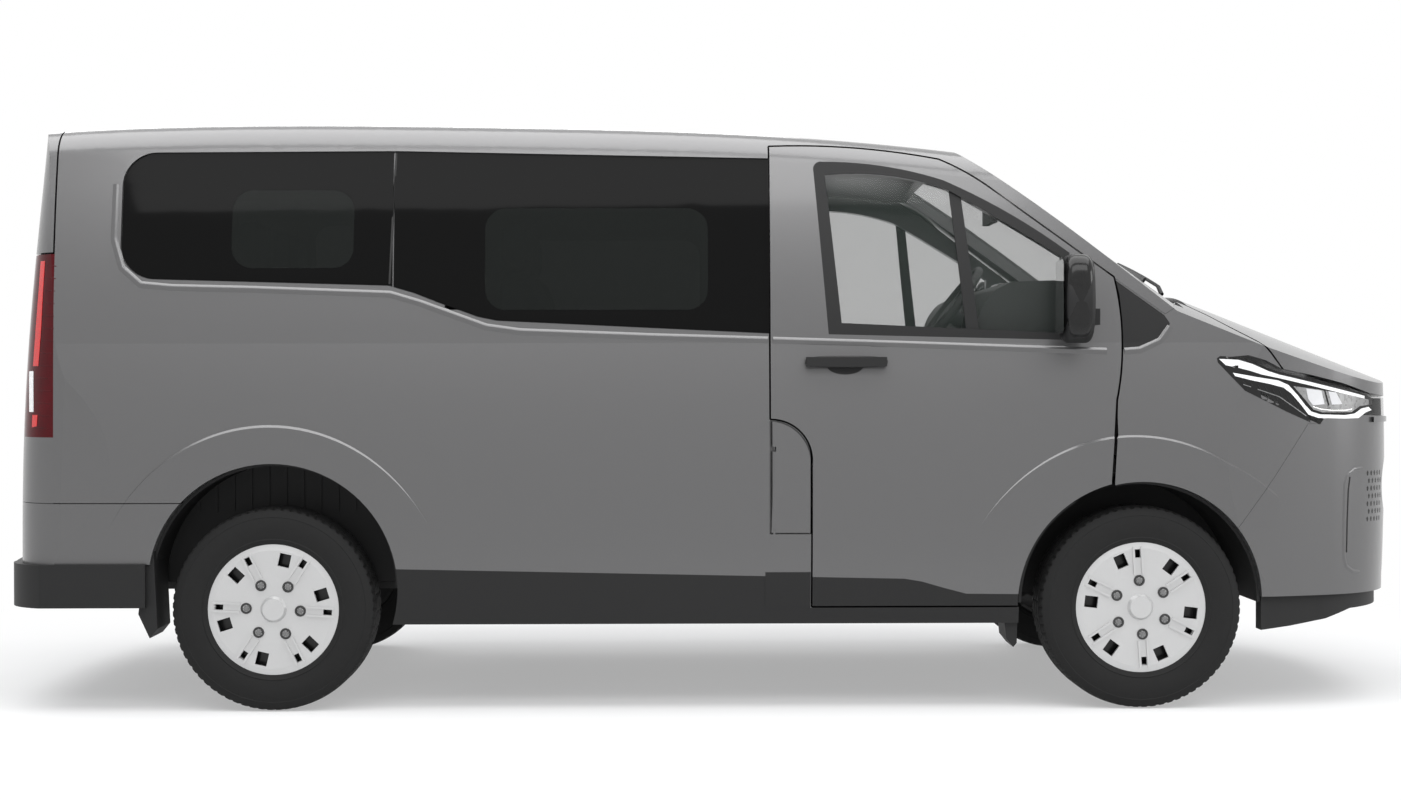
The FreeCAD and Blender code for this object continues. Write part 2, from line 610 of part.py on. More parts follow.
grille_zone = (690.0, 648.0, 842.0)      # half-width, low edge, high edge
lower_zone = (640.0, 392.0, 468.0)
rebate = 13.0
intake = fuse([slot_block(*grille_zone), slot_block(*lower_zone)])
mesh_rebate = fuse([slot_block(w + rebate, z0 - rebate, z1 + rebate)
                    for w, z0, z1 in (grille_zone, lower_zone)])
grille = mesh_rebate.common(moved(outer, x=-16.0)).cut(moved(outer, x=-26.0))
bumper = bumper.cut(intake)
bumper = biggest(bumper.cut(mesh_rebate.common(moved(outer, x=-16.0 + seal))))
slots = [box(2000, 2600, y, y + 62, z, z + 20) for z in range(664, 820, 34) for y in range(-620, 600, 86)]
slots += [box(2000, 2600, -570, 570, z, z + 12) for z in (404, 424, 444)]
grille = grille.cut(Part.makeCompound(slots))
ledge = push(plan_section(966.0, -2.0, -2.0, -9.0), z=18.0)
ledge = ledge.cut(push(plan_section(960.0, -2.0, -2.0, 25.0), z=30.0))
ledge = ledge.common(box(2305, 2600, -1200, 1200, 900, 1100))
bumper = fuse([bumper, ledge.cut(lamps)])
save("front_bumper", biggest(bumper))
save("grille", grille)
save("fender_right", fender)
save("fender_left", mirrored(fender))


# lower lip, a separate ring standing just proud of the bumper
def plan_ring(z0, z1, proud, thick):
    ring_outer = push(plan_section(z0, 0.0, 0.0, -proud), z=z1 - z0)
    return ring_outer.cut(push(plan_section(z0, 0.0, 0.0, thick - proud), z=z1 - z0))


lip_top_z = 378.0
lip_profile = polygon("xz", [(1874.0, 262.0), (1979.0, 273.0), (2115.0, 293.0), (2216.0, 323.0),
                             (2560.0, 330.0), (2560.0, lip_top_z - seal), (1874.0, lip_top_z - seal)])
lip = plan_ring(250.0, 380.0, -30.0, 60.0)
lip = lip.common(side_block(lip_profile, -1200, 1200))
save("front_lip", lip)

# ---------------------------------------------------------------- tail
hatch_side_y = 690.0
lamp_low_z = 925.0
lamp_high_z = 1548.0
hatch_bottom_z = 640.0
hatch_upper = box(-2600, rear_seam_x - panel_gap, -1200, 1200, lamp_high_z, 2200)
hatch_upper = hatch_upper.cut(box(hatch_x - gap, 0, -ditch_y, ditch_y, 1700, 2200))
hatch_lower = box(-2600, rear_seam_x - panel_gap, -hatch_side_y, hatch_side_y, hatch_bottom_z, lamp_high_z)
hatch = shell.common(fuse([hatch_upper, hatch_lower]))
hatch = hatch.cut(box(-2600, -2000, -620, 620, 1190, 1800))
hatch_rebate = box(-2600, -2000, -642, 642, 1168, 1822)
hatch = hatch.cut(hatch_rebate.cut(moved(outer, x=8.0 + glass_thickness + seal)))
hx, hz = hatch_hinge
hatch_eye = across_hinge(hx, hz, -300.0, -270.0, 4.0, 6.0)[0]
hatch_tab = box(hx - 30, hx - 2, -300.0, -270.0, hz - 12, hz + 3).cut(rod_y(hx, hz, 6.5, -310, -260))
hatch_slot = box(hx - 14, hx + 14, -310.0, -260.0, hz - 14, hz + 60)
hatch = hatch.cut(fuse(pair(hatch_slot)))
hatch = biggest(fuse([hatch] + pair(fuse([hatch_tab, hatch_eye]))))
save("tailgate", hatch)
hatch_glass = box(-2600, -2000, -640, 640, 1170, 1820).common(moved(outer, x=8.0))
hatch_glass = hatch_glass.cut(moved(outer, x=8.0 + glass_thickness))
save("tailgate_glass", biggest(hatch_glass))

corner = box(-2600, rear_seam_x, -1200, -hatch_side_y - panel_gap, bumper_top_z + 2, lamp_high_z - panel_gap)
corner = shell.common(corner)
tail_lamp = corner.common(box(-2600, 0, -1200, 0, lamp_low_z, 2000))
rear_corner = corner.common(box(-2600, 0, -1200, 0, 0, lamp_low_z))
save("tail_lamps", *pair(tail_lamp))

rear_bumper = skin.common(box(-2600, -1750, -1200, 1200, bumper_skirt_z, bumper_top_z))
rear_bumper = rear_bumper.cut(box(-2600, 0, -hatch_side_y - panel_gap, hatch_side_y + panel_gap,
                                  hatch_bottom_z - panel_gap, 900))
save("tail_panels", rear_bumper, *pair(rear_corner))
skirt = plan_ring(352.0, bumper_skirt_z, 24.0, 60.0)
skirt = skirt.common(box(-2600, -1898, -984, 984, 0, 600)).cut(arches)
save("rear_skirt", skirt)

# ---------------------------------------------------------------- underbody
floor = box(-2320, 1040, -1000, 1000, floor_z - floor_thickness, floor_z)
floor = fuse([floor, box(-2345, -2290, -1000, 1000, 420, floor_z)])
load_deck = box(-2280, -1700, -650, 650, floor_z - 5, floor_z + 3)
rear_wells = fuse([rod_y(rear_axle_x, rear_arch_z, rear_arch_radius, y0, y1)
                   for y0, y1 in ((-1100.0, -700.0), (700.0, 1100.0))])
toe_board = plate("xz", [(1040.0, 540.0), (1149.7, 779.7), (1149.7, 799.7), (1022.0, floor_z),
                         (1040.0, floor_z)], -539.0, 539.0)
sills = pair(fuse([box(-1050, 1030, -880, -800, 322, 501), box(-1050, 1030, -890, -800, 322, 344)]))
door_zones = fuse(pair(box(190, 1380, -1200, -905, 300, 1500)))
floor = fuse([floor, load_deck] + sills).common(cavity).cut(rear_wells).cut(door_zones)
save("floor", floor)

liner_thickness = 10.0


def liner(x, z, radius, y_in):
    tube = rod_y(x, z, radius - running_gap, -925.0, -y_in)
    tube = tube.cut(rod_y(x, z, radius - liner_thickness, -930.0, -y_in - liner_thickness))
    tube = tube.cut(box(x - 45, x + 45, -y_in - 20, -y_in + 20, 480, 520))
    return tube.common(box(x - 500, x + 500, -1000, 0, z, z + 500)).cut(door_relief)


front_liner = liner(front_axle_x, front_arch_z, front_arch_radius, 540.0)
rear_liner = liner(rear_axle_x, rear_arch_z, rear_arch_radius, 700.0)
save("arch_liners", *pair(front_liner), *pair(rear_liner))

engine_half_width = 330.0

# front frame: bulkhead, wing rails, radiator support, engine rails and mounts
frame = [box(1150, 1185, -1000, 1000, 780, 1230),
         box(1150, 2290, -1000, -700, 800, 850), box(1150, 2290, 700, 1000, 800, 850),
         box(2240, 2290, -900, 900, 380, 850),
         box(1000, 2290, -500, -430, 420, 480), box(1000, 2290, 430, 500, 420, 480),
         box(1000, 1040, -500, 500, 472.4, 499.7)]
frame += pair(box(1700, 1760, -430, -engine_half_width - seal, 440, 480))
front_frame = fuse(frame).common(cavity).cut(arches).cut(door_zones)
hinge_pillar = [box(1285, 1335, -840, -800, 790, 1260)]
for z in door_hinge_levels:
    x, y = door_hinge
    hinge_pillar.append(box(x - 10, x + 10, y, -830, z - 18, z - running_gap))
    hinge_pillar.append(box(x - 10, x + 10, y, -830, z + 30 + running_gap, z + 48))
    hinge_pillar.append(rod_z(x, y, 10.0, z - 18, z - running_gap))
    hinge_pillar.append(rod_z(x, y, 10.0, z + 30 + running_gap, z + 48))
    hinge_pillar.append(rod_z(x, y, door_hinge_pin, z - 18, z + 48))
hinge_pillar = fuse(hinge_pillar)
front_frame = front_frame.cut(fuse(pair(door_relief)))
front_frame = fuse([front_frame] + pair(hinge_pillar))
save("front_frame", front_frame, toe_board)
save("engine", box(1560, 2140, -engine_half_width, engine_half_width, 430, 1050))
save("fuel_tank", box(-700, 300, 150, 700, 330, floor_z - floor_thickness - seal))
pipe_path = [(1300, -150, 455), (200, -300, 400), (-500, -300, 400), (-1300, -330, 432),
             (-1650, -380, 432), (-2200, -450, 380)]
save("exhaust", fuse([rod(80 if i == 1 else 30, a, b) for i, (a, b) in enumerate(zip(pipe_path, pipe_path[1:]))]
                     + [Part.makeSphere(30, V(*point)) for point in pipe_path[3:5]]))

# ---------------------------------------------------------------- axles and wheels
spindle_r = 24.0
upright = [box(front_axle_x - 45, front_axle_x + 45, -745, -700, 230, 456),
           box(front_axle_x - 30, front_axle_x + 30, -815, -700, 456, 480),
           box(front_axle_x - 30, front_axle_x + 30, -815, -700, 206, 230),
           rod_y(front_axle_x, tyre_radius, spindle_r, -925, -700)]
knuckle = fuse(upright)
save("knuckle_right", knuckle)
save("knuckle_left", mirrored(knuckle))

arm_up = fuse([box(front_axle_x - 25, front_axle_x + 25, -815, -425, 490, 510),
               rod(12, (front_axle_x, -kingpin_y, 480.3), (front_axle_x, -kingpin_y, 492))])
arm_low = fuse([box(front_axle_x - 30, front_axle_x + 30, -815, -425, 176, 200),
                rod(12, (front_axle_x, -kingpin_y, 190), (front_axle_x, -kingpin_y, 205.7))])
cradle = box(front_axle_x - 60, front_axle_x + 60, -429.7, 429.7, 176, 510)
cradle = cradle.cut(box(front_axle_x - 100, front_axle_x + 100, -380, 380, 240, 520))
save("front_suspension", fuse([cradle, arm_up, arm_low, mirrored(arm_up), mirrored(arm_low)]))

beam = rod_y(rear_axle_x, tyre_radius, 38.0, -690, 690)
spindle = rod_y(rear_axle_x, tyre_radius, spindle_r, -925, 925)
save("rear_axle", fuse([beam, spindle]))
spring = [box(-2120, -830, -600, -530, 381.3, 405), box(-2120, -2090, -600, -530, 405, 499.7),
          box(-860, -830, -600, -530, 405, 499.7)]
save("leaf_springs", *pair(fuse(spring)))


def revolve_y(points, x, z):
    """Closed profile (distance from the axis, y) turned about the wheel axis."""
    wire = polygon("yz", [(y, r) for r, y in points])
    face = Part.Face(wire)
    ring = face.revolve(V(0, 0, 0), V(0, 1, 0), 360)
    return moved(ring, x=x, z=z)


w0, w1 = -wheel_face_y, -wheel_face_y + tyre_width
tyre_profile = [(rim_radius + 3, w0 + 22), (285.0, w0), (322.0, w0 + 8),
                (tyre_radius, w0 + 38), (tyre_radius, w1 - 38),
                (322.0, w1 - 8), (285.0, w1), (rim_radius + 3, w1 - 22)]
rim_profile = [(spindle_r + running_gap, w0 + 45), (80.0, w0 + 45), (120.0, w0 + 62), (190.0, w0 + 62),
               (196.0, w0 + 22), (rim_radius + 2.8, w0 + 22), (rim_radius + 2.8, w1 - 22),
               (203.0, w1 - 22), (203.0, w0 + 74), (115.0, w0 + 74), (76.0, w0 + 60),
               (spindle_r + running_gap, w0 + 60)]
cover_profile = [(0.0, w0 + 8), (36.0, w0 + 8), (44.0, w0 + 20), (112.0, w0 + 13), (200.0, w0 + 10),
                 (221.0, w0 + 14), (221.0, w0 + 19), (194.0, w0 + 21.7), (120.0, w0 + 30), (0.0, w0 + 30)]
nut_circle_radius = 91.0
nut_count = 6
# cut windows: turn from the nut, radius of the centre, width round the wheel, length along the radius
cover_windows = [(0.0, 183.0, 18.0, 29.0), (20.0, 170.0, 39.0, 45.0)]


def spun(shape, degrees):
    """Turned about the wheel's axis, anticlockwise as seen from the right."""
    return shape.rotated(V(0, 0, 0), V(0, 1, 0), -degrees)


def wheel_cover(first_nut):
    """Full cover with nut bosses, ribs and two rings of windows, on the wheel's axis."""
    extra, windows = [], []
    for k in range(nut_count):
        turn = first_nut + 360.0 * k / nut_count
        boss = rod_y(nut_circle_radius, 0, 19.0, w0 + 11, w0 + 26)
        boss = boss.cut(rod_y(nut_circle_radius, 0, 14.0, w0 + 5, w0 + 17))
        nut = rod_y(nut_circle_radius, 0, 9.5, w0 + 9, w0 + 20)
        ribs = [Part.makeBox(94, 10, 7, V(112, w0 + 5.5, z - 3.5)) for z in (-14.0, 14.0)]
        extra += [spun(piece, turn) for piece in [boss, nut] + ribs]
        for angle, radius, width, length in cover_windows:
            window = Part.makeBox(length, 60, width, V(radius - length / 2, w0 - 5, -width / 2))
            windows.append(spun(window, turn + angle))
    dish = revolve_y(cover_profile, 0, 0)
    return fuse([dish] + extra).cut(Part.makeCompound(windows))


for name, x, first_nut in (("front", front_axle_x, 33.5), ("rear", rear_axle_x, -3.0)):
    tyre = revolve_y(tyre_profile, x, tyre_radius)
    rim = revolve_y(rim_profile, x, tyre_radius)
    cover = moved(wheel_cover(first_nut), x=x, z=tyre_radius)
    for side_name, put in (("right", lambda s: s), ("left", mirrored)):
        save("tyre_%s_%s" % (name, side_name), put(tyre))
        save("wheel_%s_%s" % (name, side_name), put(rim), put(cover))


# ---------------------------------------------------------------- cabin
def seat(x, y0, y1):
    """One seat unit on the floor: pedestal, cushion, back and head restraints."""
    z = floor_z
    cushion = loop("xz", (x - 60, z + 230), (x + 420, z + 250), ((x + 470, z + 310), (x + 430, z + 385)),
                   (x - 40, z + 360), (x - 60, z + 340), at=y0)
    back = loop("xz", (x - 95, z + 230), (x + 30, z + 300), (x - 55, z + 900),
                ((x - 105, z + 945), (x - 150, z + 890)), at=y0)
    head = loop("xz", (x - 85, z + 960), (x - 95, z + 1100), ((x - 150, z + 1125), (x - 180, z + 1080)),
                (x - 165, z + 950), at=y0)
    width = y1 - y0
    parts = [push(cushion, y=width), push(back, y=width),
             box(x, x + 380, y0 + 50, y1 - 50, z, z + 240)]
    places = max(1, round(width / 450))
    pitch = width / places
    for i in range(places):
        middle = y0 + pitch * (i + 0.5)
        rest = push(head, y=260.0).translated(V(0, middle - 130 - y0, 0))
        parts.append(rest)
        parts.append(box(x - 140, x - 110, middle - 40, middle + 40, z + 880, z + 975))
    return fuse(parts)


save("front_seats", seat(330.0, -720.0, -200.0), seat(330.0, -110.0, 740.0))
save("middle_seats", seat(-560.0, -640.0, 640.0))
save("rear_seats", seat(-1500.0, -640.0, 640.0))

dash_profile = loop("xz", (1030.0, 800.0), (930.0, 1210.0), ((925.0, 1330.0), (985.0, 1425.0)),
                    (1040.0, 1452.0), (1400.0, 1462.0), (1560.0, 1400.0), (1560.0, 1340.0),
                    (1250.0, 1290.0), (1150.0, 1235.0), (1150.0, 800.0))
dash = side_block(dash_profile, -830.0, 830.0).common(cavity)
wheel_centre = (873.0, -380.0, 1362.0)
column_way = (0.794, 0.0, -0.607)


def along(point, way, by):
    return tuple(p + w * by for p, w in zip(point, way))


column = rod(28.0, along(wheel_centre, column_way, 31.3), along(wheel_centre, column_way, 160.0))
dash = fuse([dash.cut(front_frame).cut(cowl), column])
save("dash", dash)
ring = Part.makeTorus(185.0, 15.0, V(0, 0, 0), V(0, 0, 1))
spokes = [box(0, 185, -16, 16, -8, 8), box(-185, 0, -16, 16, -8, 8), box(-16, 16, -185, 0, -8, 8),
          Part.makeCylinder(55.0, 38.0, V(0, 0, -8)), Part.makeCylinder(24.0, 39.0, V(0, 0, -8))]
steering_wheel = fuse([ring] + spokes)
turn = FreeCAD.Rotation(V(0, 0, 1), V(*column_way))
steering_wheel = steering_wheel.transformed(FreeCAD.Placement(V(*wheel_centre), turn).toMatrix())
save("steering_wheel", steering_wheel)

inside_mirror = fuse([box(1070, 1095, -115, 115, 1705, 1765), rod(8.0, (1085, 0, 1740), (1120, 0, 1800))])
inside_mirror = biggest(inside_mirror.common(moved(screen_sheet, z=-glass_thickness * 1.16 - seal)))
save("inside_mirror", inside_mirror)

flaps = [plate("xz", [(-1895.0, 560.0), (-1926.0, 330.0), (-1888.0, 248.0), (-1862.0, 280.0),
                      (-1875.0, 560.0)], -960.0, -760.0),
         plate("xz", [(1016.0, 344.0), (1000.0, 290.0), (1006.0, 236.0), (1030.0, 206.0),
                      (1042.0, 220.0), (1044.0, 344.0)], -924.0, -760.0)]
flaps = [flap.cut(rear_bumper).cut(skirt).cut(floor).cut(rear_liner).cut(sill_trim) for flap in flaps]
save("mud_flaps", *[piece for flap in flaps for piece in pair(biggest(flap))])
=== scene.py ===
# %% [markdown]
# # A short-wheelbase minibus in studio light
# The solids come from a packed CAD model, in metres, with +X forward, +Y left and +Z up.
# They could be drawn again by hand, but then looks and motion would drift apart. So the
# packed model is loaded once as a fixed frame, and everything below dresses that frame.

# %% Load the frame
import math

import bpy
import numpy as np
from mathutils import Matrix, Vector
from mathutils.bvhtree import BVHTree
from mathutils.geometry import delaunay_2d_cdt


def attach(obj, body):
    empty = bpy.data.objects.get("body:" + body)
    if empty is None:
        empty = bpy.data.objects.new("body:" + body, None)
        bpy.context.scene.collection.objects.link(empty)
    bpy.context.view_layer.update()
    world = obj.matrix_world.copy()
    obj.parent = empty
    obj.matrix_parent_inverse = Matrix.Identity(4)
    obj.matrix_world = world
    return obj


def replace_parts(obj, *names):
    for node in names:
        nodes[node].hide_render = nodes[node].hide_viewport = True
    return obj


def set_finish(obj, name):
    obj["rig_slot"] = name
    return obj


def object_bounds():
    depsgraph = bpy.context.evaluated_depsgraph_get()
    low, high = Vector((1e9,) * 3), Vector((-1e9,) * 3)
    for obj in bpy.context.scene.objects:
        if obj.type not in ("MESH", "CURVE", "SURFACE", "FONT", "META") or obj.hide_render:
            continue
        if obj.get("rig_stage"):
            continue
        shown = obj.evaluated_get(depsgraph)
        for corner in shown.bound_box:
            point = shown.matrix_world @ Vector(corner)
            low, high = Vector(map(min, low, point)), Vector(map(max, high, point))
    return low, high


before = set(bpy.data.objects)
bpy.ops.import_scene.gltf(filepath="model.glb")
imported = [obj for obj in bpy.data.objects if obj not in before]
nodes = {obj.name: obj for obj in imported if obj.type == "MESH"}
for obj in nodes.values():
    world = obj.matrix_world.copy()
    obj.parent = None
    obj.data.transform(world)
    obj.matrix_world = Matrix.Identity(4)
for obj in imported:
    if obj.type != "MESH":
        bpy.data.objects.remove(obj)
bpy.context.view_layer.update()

# %% [markdown]
# ## Shader maths written as Python
# A finish such as metallic paint mixes several masks. Clicking Math nodes together is slow
# to read and to change, so one small class wraps a socket, and `1 - mask * 0.5` then adds
# the nodes by itself. The reflected forms, such as `__rsub__`, let a number come first.


# %% The socket class
class Val:
    """A shader socket that arithmetic can be written with."""

    def __init__(self, graph, socket):
        self.graph = graph
        self.socket = socket

    def math(self, operation, *values):
        return self.graph.node("ShaderNodeMath", {"operation": operation}, dict(enumerate(values)))

    def __add__(self, other): return self.math("ADD", self, other)
    def __radd__(self, other): return self.math("ADD", other, self)
    def __sub__(self, other): return self.math("SUBTRACT", self, other)
    def __rsub__(self, other): return self.math("SUBTRACT", other, self)
    def __mul__(self, other): return self.math("MULTIPLY", self, other)
    def __rmul__(self, other): return self.math("MULTIPLY", other, self)
    def __pow__(self, other): return self.math("POWER", self, other)
    def __rpow__(self, other): return self.math("POWER", other, self)
    def __gt__(self, other): return self.math("GREATER_THAN", self, other)
    def __lt__(self, other): return self.math("LESS_THAN", self, other)
    def __abs__(self): return self.math("ABSOLUTE", self)
    def wave(self): return self.math("SINE", self)
    def root(self): return self.math("SQRT", self)
    def largest(self, other): return self.math("MAXIMUM", self, other)
    def least(self, other): return self.math("MINIMUM", self, other)
    def within(self, low, high): return (self > low) * (self < high)

    def ramp(self, low, high):
        """From 0 at low to 1 at high, and level beyond."""
        return ((self - low) * (1.0 / (high - low))).largest(0.0).least(1.0)


print("operators", [word for word in vars(Val) if word.startswith("__r")])

# %% [markdown]
# Every node comes from one method: its type, then its settings, then what its sockets hold
# or are linked to. The settings go first, because some of them change which sockets there
# are. A material and the world each own such a tree, so the method has a class of its own.


# %% The node method
class Graph:
    """A node tree, and the one way to add to it."""

    def __init__(self, tree):
        self.tree = tree

    def node(self, kind, settings=None, inputs=None, out=0):
        made = self.tree.nodes.new(kind)
        for key, value in (settings or {}).items():
            setattr(made, key, value)
        for key, value in (inputs or {}).items():
            if isinstance(value, Val):
                self.tree.links.new(value.socket, made.inputs[key])
            else:
                made.inputs[key].default_value = value
        return Val(self, made.outputs[out]) if made.outputs else None


print("materials in the packed model", len(bpy.data.materials))

# %% [markdown]
# A real finish is seldom one even colour: paint has flakes, plastic has a grain and rubber
# holds dust. A picture wrapped on the surface could show that, but it needs a file and an
# unwrap. Noise in object coordinates needs neither, and it stays put when a door swings.


# %% The finish class
class Finish(Graph):
    """A material: its shader's constants first, then whatever varies over the surface."""

    named = {}

    def __init__(self, name, **constants):
        self.material = bpy.data.materials.new(name)
        self.material.use_nodes = True
        Finish.named[self.material.name] = self
        super().__init__(self.material.node_tree)
        self.shader = self.tree.nodes["Principled BSDF"]
        for socket, value in constants.items():
            self.shader.inputs[socket.replace("_", " ")].default_value = value

    def place(self):
        """Position on the vehicle, in metres, as three numbers."""
        at = self.node("ShaderNodeTexCoord", out="Object")
        split = self.node("ShaderNodeSeparateXYZ", {}, {0: at}).socket.node
        return [Val(self, socket) for socket in split.outputs]

    def noise(self, scale, detail=2.0):
        at = self.node("ShaderNodeTexCoord", out="Object")
        return self.node("ShaderNodeTexNoise", {}, {"Vector": at, "Scale": scale, "Detail": detail}, "Fac")

    def blend(self, mask, dark, light):
        """Two colours mixed by a mask: the first where it is 0, the second where it is 1."""
        return self.node("ShaderNodeMix", {"data_type": "RGBA"}, {0: mask, 6: dark, 7: light}, 2)

    def bump(self, height, strength, distance):
        return self.node("ShaderNodeBump", {}, {"Height": height, "Strength": strength, "Distance": distance})

    def feed(self, **sockets):
        for socket, value in sockets.items():
            self.tree.links.new(value.socket, self.shader.inputs[socket.replace("_", " ")])


def grey(level, green=1.0, blue=1.0):
    """A grey, with its green and blue as shares of the level."""
    return (level, level * green, level * blue, 1.0)


print("a mid grey", grey(0.2))

# %% [markdown]
# Most finishes differ only in numbers: how fine the noise is, the two colours it wanders
# between, and how far roughness or height follow it. Node groups could share that, but a
# function is easier to read. The few that need a mask of their own are built step by step.


# %% Mottled finishes
def mottled(name, scale, detail, dark, light, vary=None, bump=None, **constants):
    """A finish led by one noise. Each socket in vary gets the noise times a rise, plus a base."""
    made = Finish(name, **constants)
    mask = made.noise(scale, detail)
    sockets = {socket: mask * rise + base for socket, (rise, base) in (vary or {}).items()}
    if bump:
        sockets["Normal"] = made.bump(mask, *bump)
    made.feed(Base_Color=made.blend(mask, dark, light), **sockets)
    return made


print("finishes", len(Finish.named))

# %% [markdown]
# ## Finishes
# The panels are a mid-grey metallic paint: tiny flakes under a clear coat. A plain metal
# would look like bare sheet. A coat layer on the shader gives the second reflection, and a
# fine noise makes the flakes, in the colour as well as in a very shallow bump.

# %% Paint
paint = mottled("body_paint", 2600.0, 1.0, grey(0.088, 1.0, 1.02), grey(0.160, 0.99, 1.0),
                {"Roughness": (0.06, 0.31)}, (0.04, 0.0002), Metallic=0.7, Coat_Weight=0.5, Coat_Roughness=0.1)
print("paint nodes", len(paint.tree.nodes))

# %% [markdown]
# The sills, lips and bands are grained plastic, which scatters light, so it takes a rough
# shader with a bump. Handles and mirrors are smooth black, and the tyres are dull with
# dust. All are nearly black, and roughness is what tells them apart.

# %% Plastics and rubber
plastic = mottled("grained_plastic", 900.0, 3.0, grey(0.007), grey(0.016, 1.0, 1.03),
                  {"Roughness": (0.2, 0.45)}, (0.25, 0.0004), Specular_IOR_Level=0.3)
gloss_black = mottled("gloss_black", 30.0, 2.0, grey(0.006), grey(0.012), {"Roughness": (0.08, 0.1)},
                      Specular_IOR_Level=0.3)
rubber = mottled("tyre_rubber", 60.0, 4.0, grey(0.006), grey(0.014), {"Roughness": (0.2, 0.62)},
                 Specular_IOR_Level=0.25)
seal_rubber = mottled("seal_rubber", 200.0, 2.0, grey(0.008), grey(0.016), Roughness=0.7)
print("dark finishes", [f.material.name for f in (plastic, gloss_black, rubber, seal_rubber)])

# %% [markdown]
# Wheel covers are silver-painted, the chassis is dark painted steel, and the exhaust is
# bare. Cover and rim are one solid, so the silver turns dark by distance from the middle of
# the vehicle. That dark is painted shade: what shows through the holes looks in shadow, as a deep rim would be.

# %% Metals
cover_back = 0.9345
silver = Finish("wheel_silver", Metallic=0.55, Coat_Weight=0.3)
speck = silver.noise(1800.0, 1.0)
wheel_y = silver.place()[1]
# painted shade: near black inward of the cover's back face, standing in for the shadow in the deep rim
shade_behind_cover = abs(wheel_y) < cover_back
silver.feed(Base_Color=silver.blend(shade_behind_cover, silver.blend(speck, grey(0.46), grey(0.60)), grey(0.01)),
            Roughness=speck * 0.12 + 0.28)

steel = mottled("dark_steel", 14.0, 5.0, grey(0.018), grey(0.05), {"Roughness": (0.25, 0.42)}, Metallic=0.3)
bare = mottled("bare_steel", 9.0, 4.0, grey(0.22, 0.95, 0.9), grey(0.42, 0.98, 0.95), {"Roughness": (0.3, 0.3)},
               Metallic=0.9)
cast = mottled("cast_metal", 160.0, 4.0, grey(0.12), grey(0.24), None, (0.4, 0.001), Metallic=0.6, Roughness=0.6)
chrome = mottled("bright_metal", 40.0, 2.0, grey(0.72), grey(0.82), Metallic=1.0, Roughness=0.08)
print("metals", [f.material.name for f in (silver, steel, bare, cast, chrome)])

# %% [markdown]
# ## Glass
# Real glass in a vehicle is a thin tinted shell. A full refracting shader would be slow and
# leave the cabin black, so the tint is given as alpha: what the surface hides, and what it
# lets through. The rear side panes are dark, with an opaque border round each clearer
# area, so their alpha is a mask of rectangles with round corners in object coordinates.

# %% Dark glass
clear_areas = ((-1.615, -1.204, 1.495, 1.760), (-0.760, -0.007, 1.353, 1.698))    # x from, to, z from, to
corner_round = 0.07
clear_share = 0.2    # how much of what lies behind a clearer area shows


def rounded_area(x, z, x0, x1, z0, z1):
    """1 in a rectangle with round corners, 0 outside it."""
    past_x = (abs(x - (x0 + x1) / 2) - ((x1 - x0) / 2 - corner_round)).largest(0.0)
    past_z = (abs(z - (z0 + z1) / 2) - ((z1 - z0) / 2 - corner_round)).largest(0.0)
    return (past_x ** 2.0 + past_z ** 2.0).root() < corner_round


dark_glass = Finish("dark_glass", Roughness=0.05, Specular_IOR_Level=0.07)
x, _, z = dark_glass.place()
rear_area, middle_area = (rounded_area(x, z, *sides) for sides in clear_areas)
clear = rear_area + middle_area
dark_glass.feed(Base_Color=dark_glass.blend(clear, grey(0.004), grey(0.012, 1.12, 1.05)),
                Alpha=1 - clear * clear_share)

back_glass = Finish("back_glass", Roughness=0.05, Specular_IOR_Level=0.07)
_, y, z = back_glass.place()
inner = y.within(-0.61, 0.61) * z.within(1.2, 1.79)
back_glass.feed(Base_Color=back_glass.blend(inner, grey(0.004), grey(0.012, 1.1, 1.05)),
                Alpha=1 - inner * clear_share)
print("clear areas", [(round(x1 - x0, 3), round(z1 - z0, 3)) for x0, x1, z0, z1 in clear_areas])

# %% [markdown]
# The windscreen and the cab doors have light green glass that a driver can see out of, so
# it hides only a fifth of what lies behind. Mirror glass hides everything: it is a smooth
# metal, which reflects more cleanly than glass with a dark back.

# %% Cab glass
cab_glass = mottled("cab_glass", 3.0, 2.0, grey(0.035, 1.25, 1.12), grey(0.05, 1.25, 1.12),
                    {"Alpha": (0.02, 0.2)}, Roughness=0.03, Specular_IOR_Level=0.25)
mirror_glass = mottled("mirror_glass", 5.0, 2.0, grey(0.7), grey(0.78), Metallic=1.0, Roughness=0.02)
print("clear finishes", cab_glass.material.name, mirror_glass.material.name)

# %% [markdown]
# ## Lamp finishes
# A lamp is a clear or red cover, a bright reflector, and strips that guide light. None is
# lit here. Lamps that are off still read as lamps by their colour and gloss, so each gets a
# plain finish of its own instead of light.

# %% Lamp covers, strips and reflectors
lens = mottled("lamp_lens", 8.0, 2.0, grey(0.02), grey(0.03), {"Alpha": (0.05, 0.30)}, Roughness=0.05,
               Coat_Weight=0.5)
red_lens = mottled("red_lens", 14.0, 2.0, (0.05, 0.002, 0.004, 1), (0.085, 0.003, 0.006, 1), Roughness=0.12,
                   Specular_IOR_Level=0.15)
red_bright = mottled("red_strip", 60.0, 2.0, (0.50, 0.010, 0.012, 1), (0.68, 0.02, 0.02, 1), Roughness=0.2,
                     Coat_Weight=0.2)
white_strip = mottled("white_strip", 80.0, 2.0, grey(0.80), grey(0.90), Roughness=0.25)
reflector = mottled("lamp_reflector", 70.0, 1.0, grey(0.16), grey(0.34), {"Roughness": (0.2, 0.2)}, Metallic=0.6)
projector = mottled("projector_glass", 20.0, 2.0, grey(0.55, 1.0, 1.02), grey(0.72, 1.0, 1.02), Roughness=0.05,
                    Coat_Weight=0.4)
print("lamp finishes", [f.material.name for f in (lens, red_lens, red_bright, white_strip, reflector, projector)])

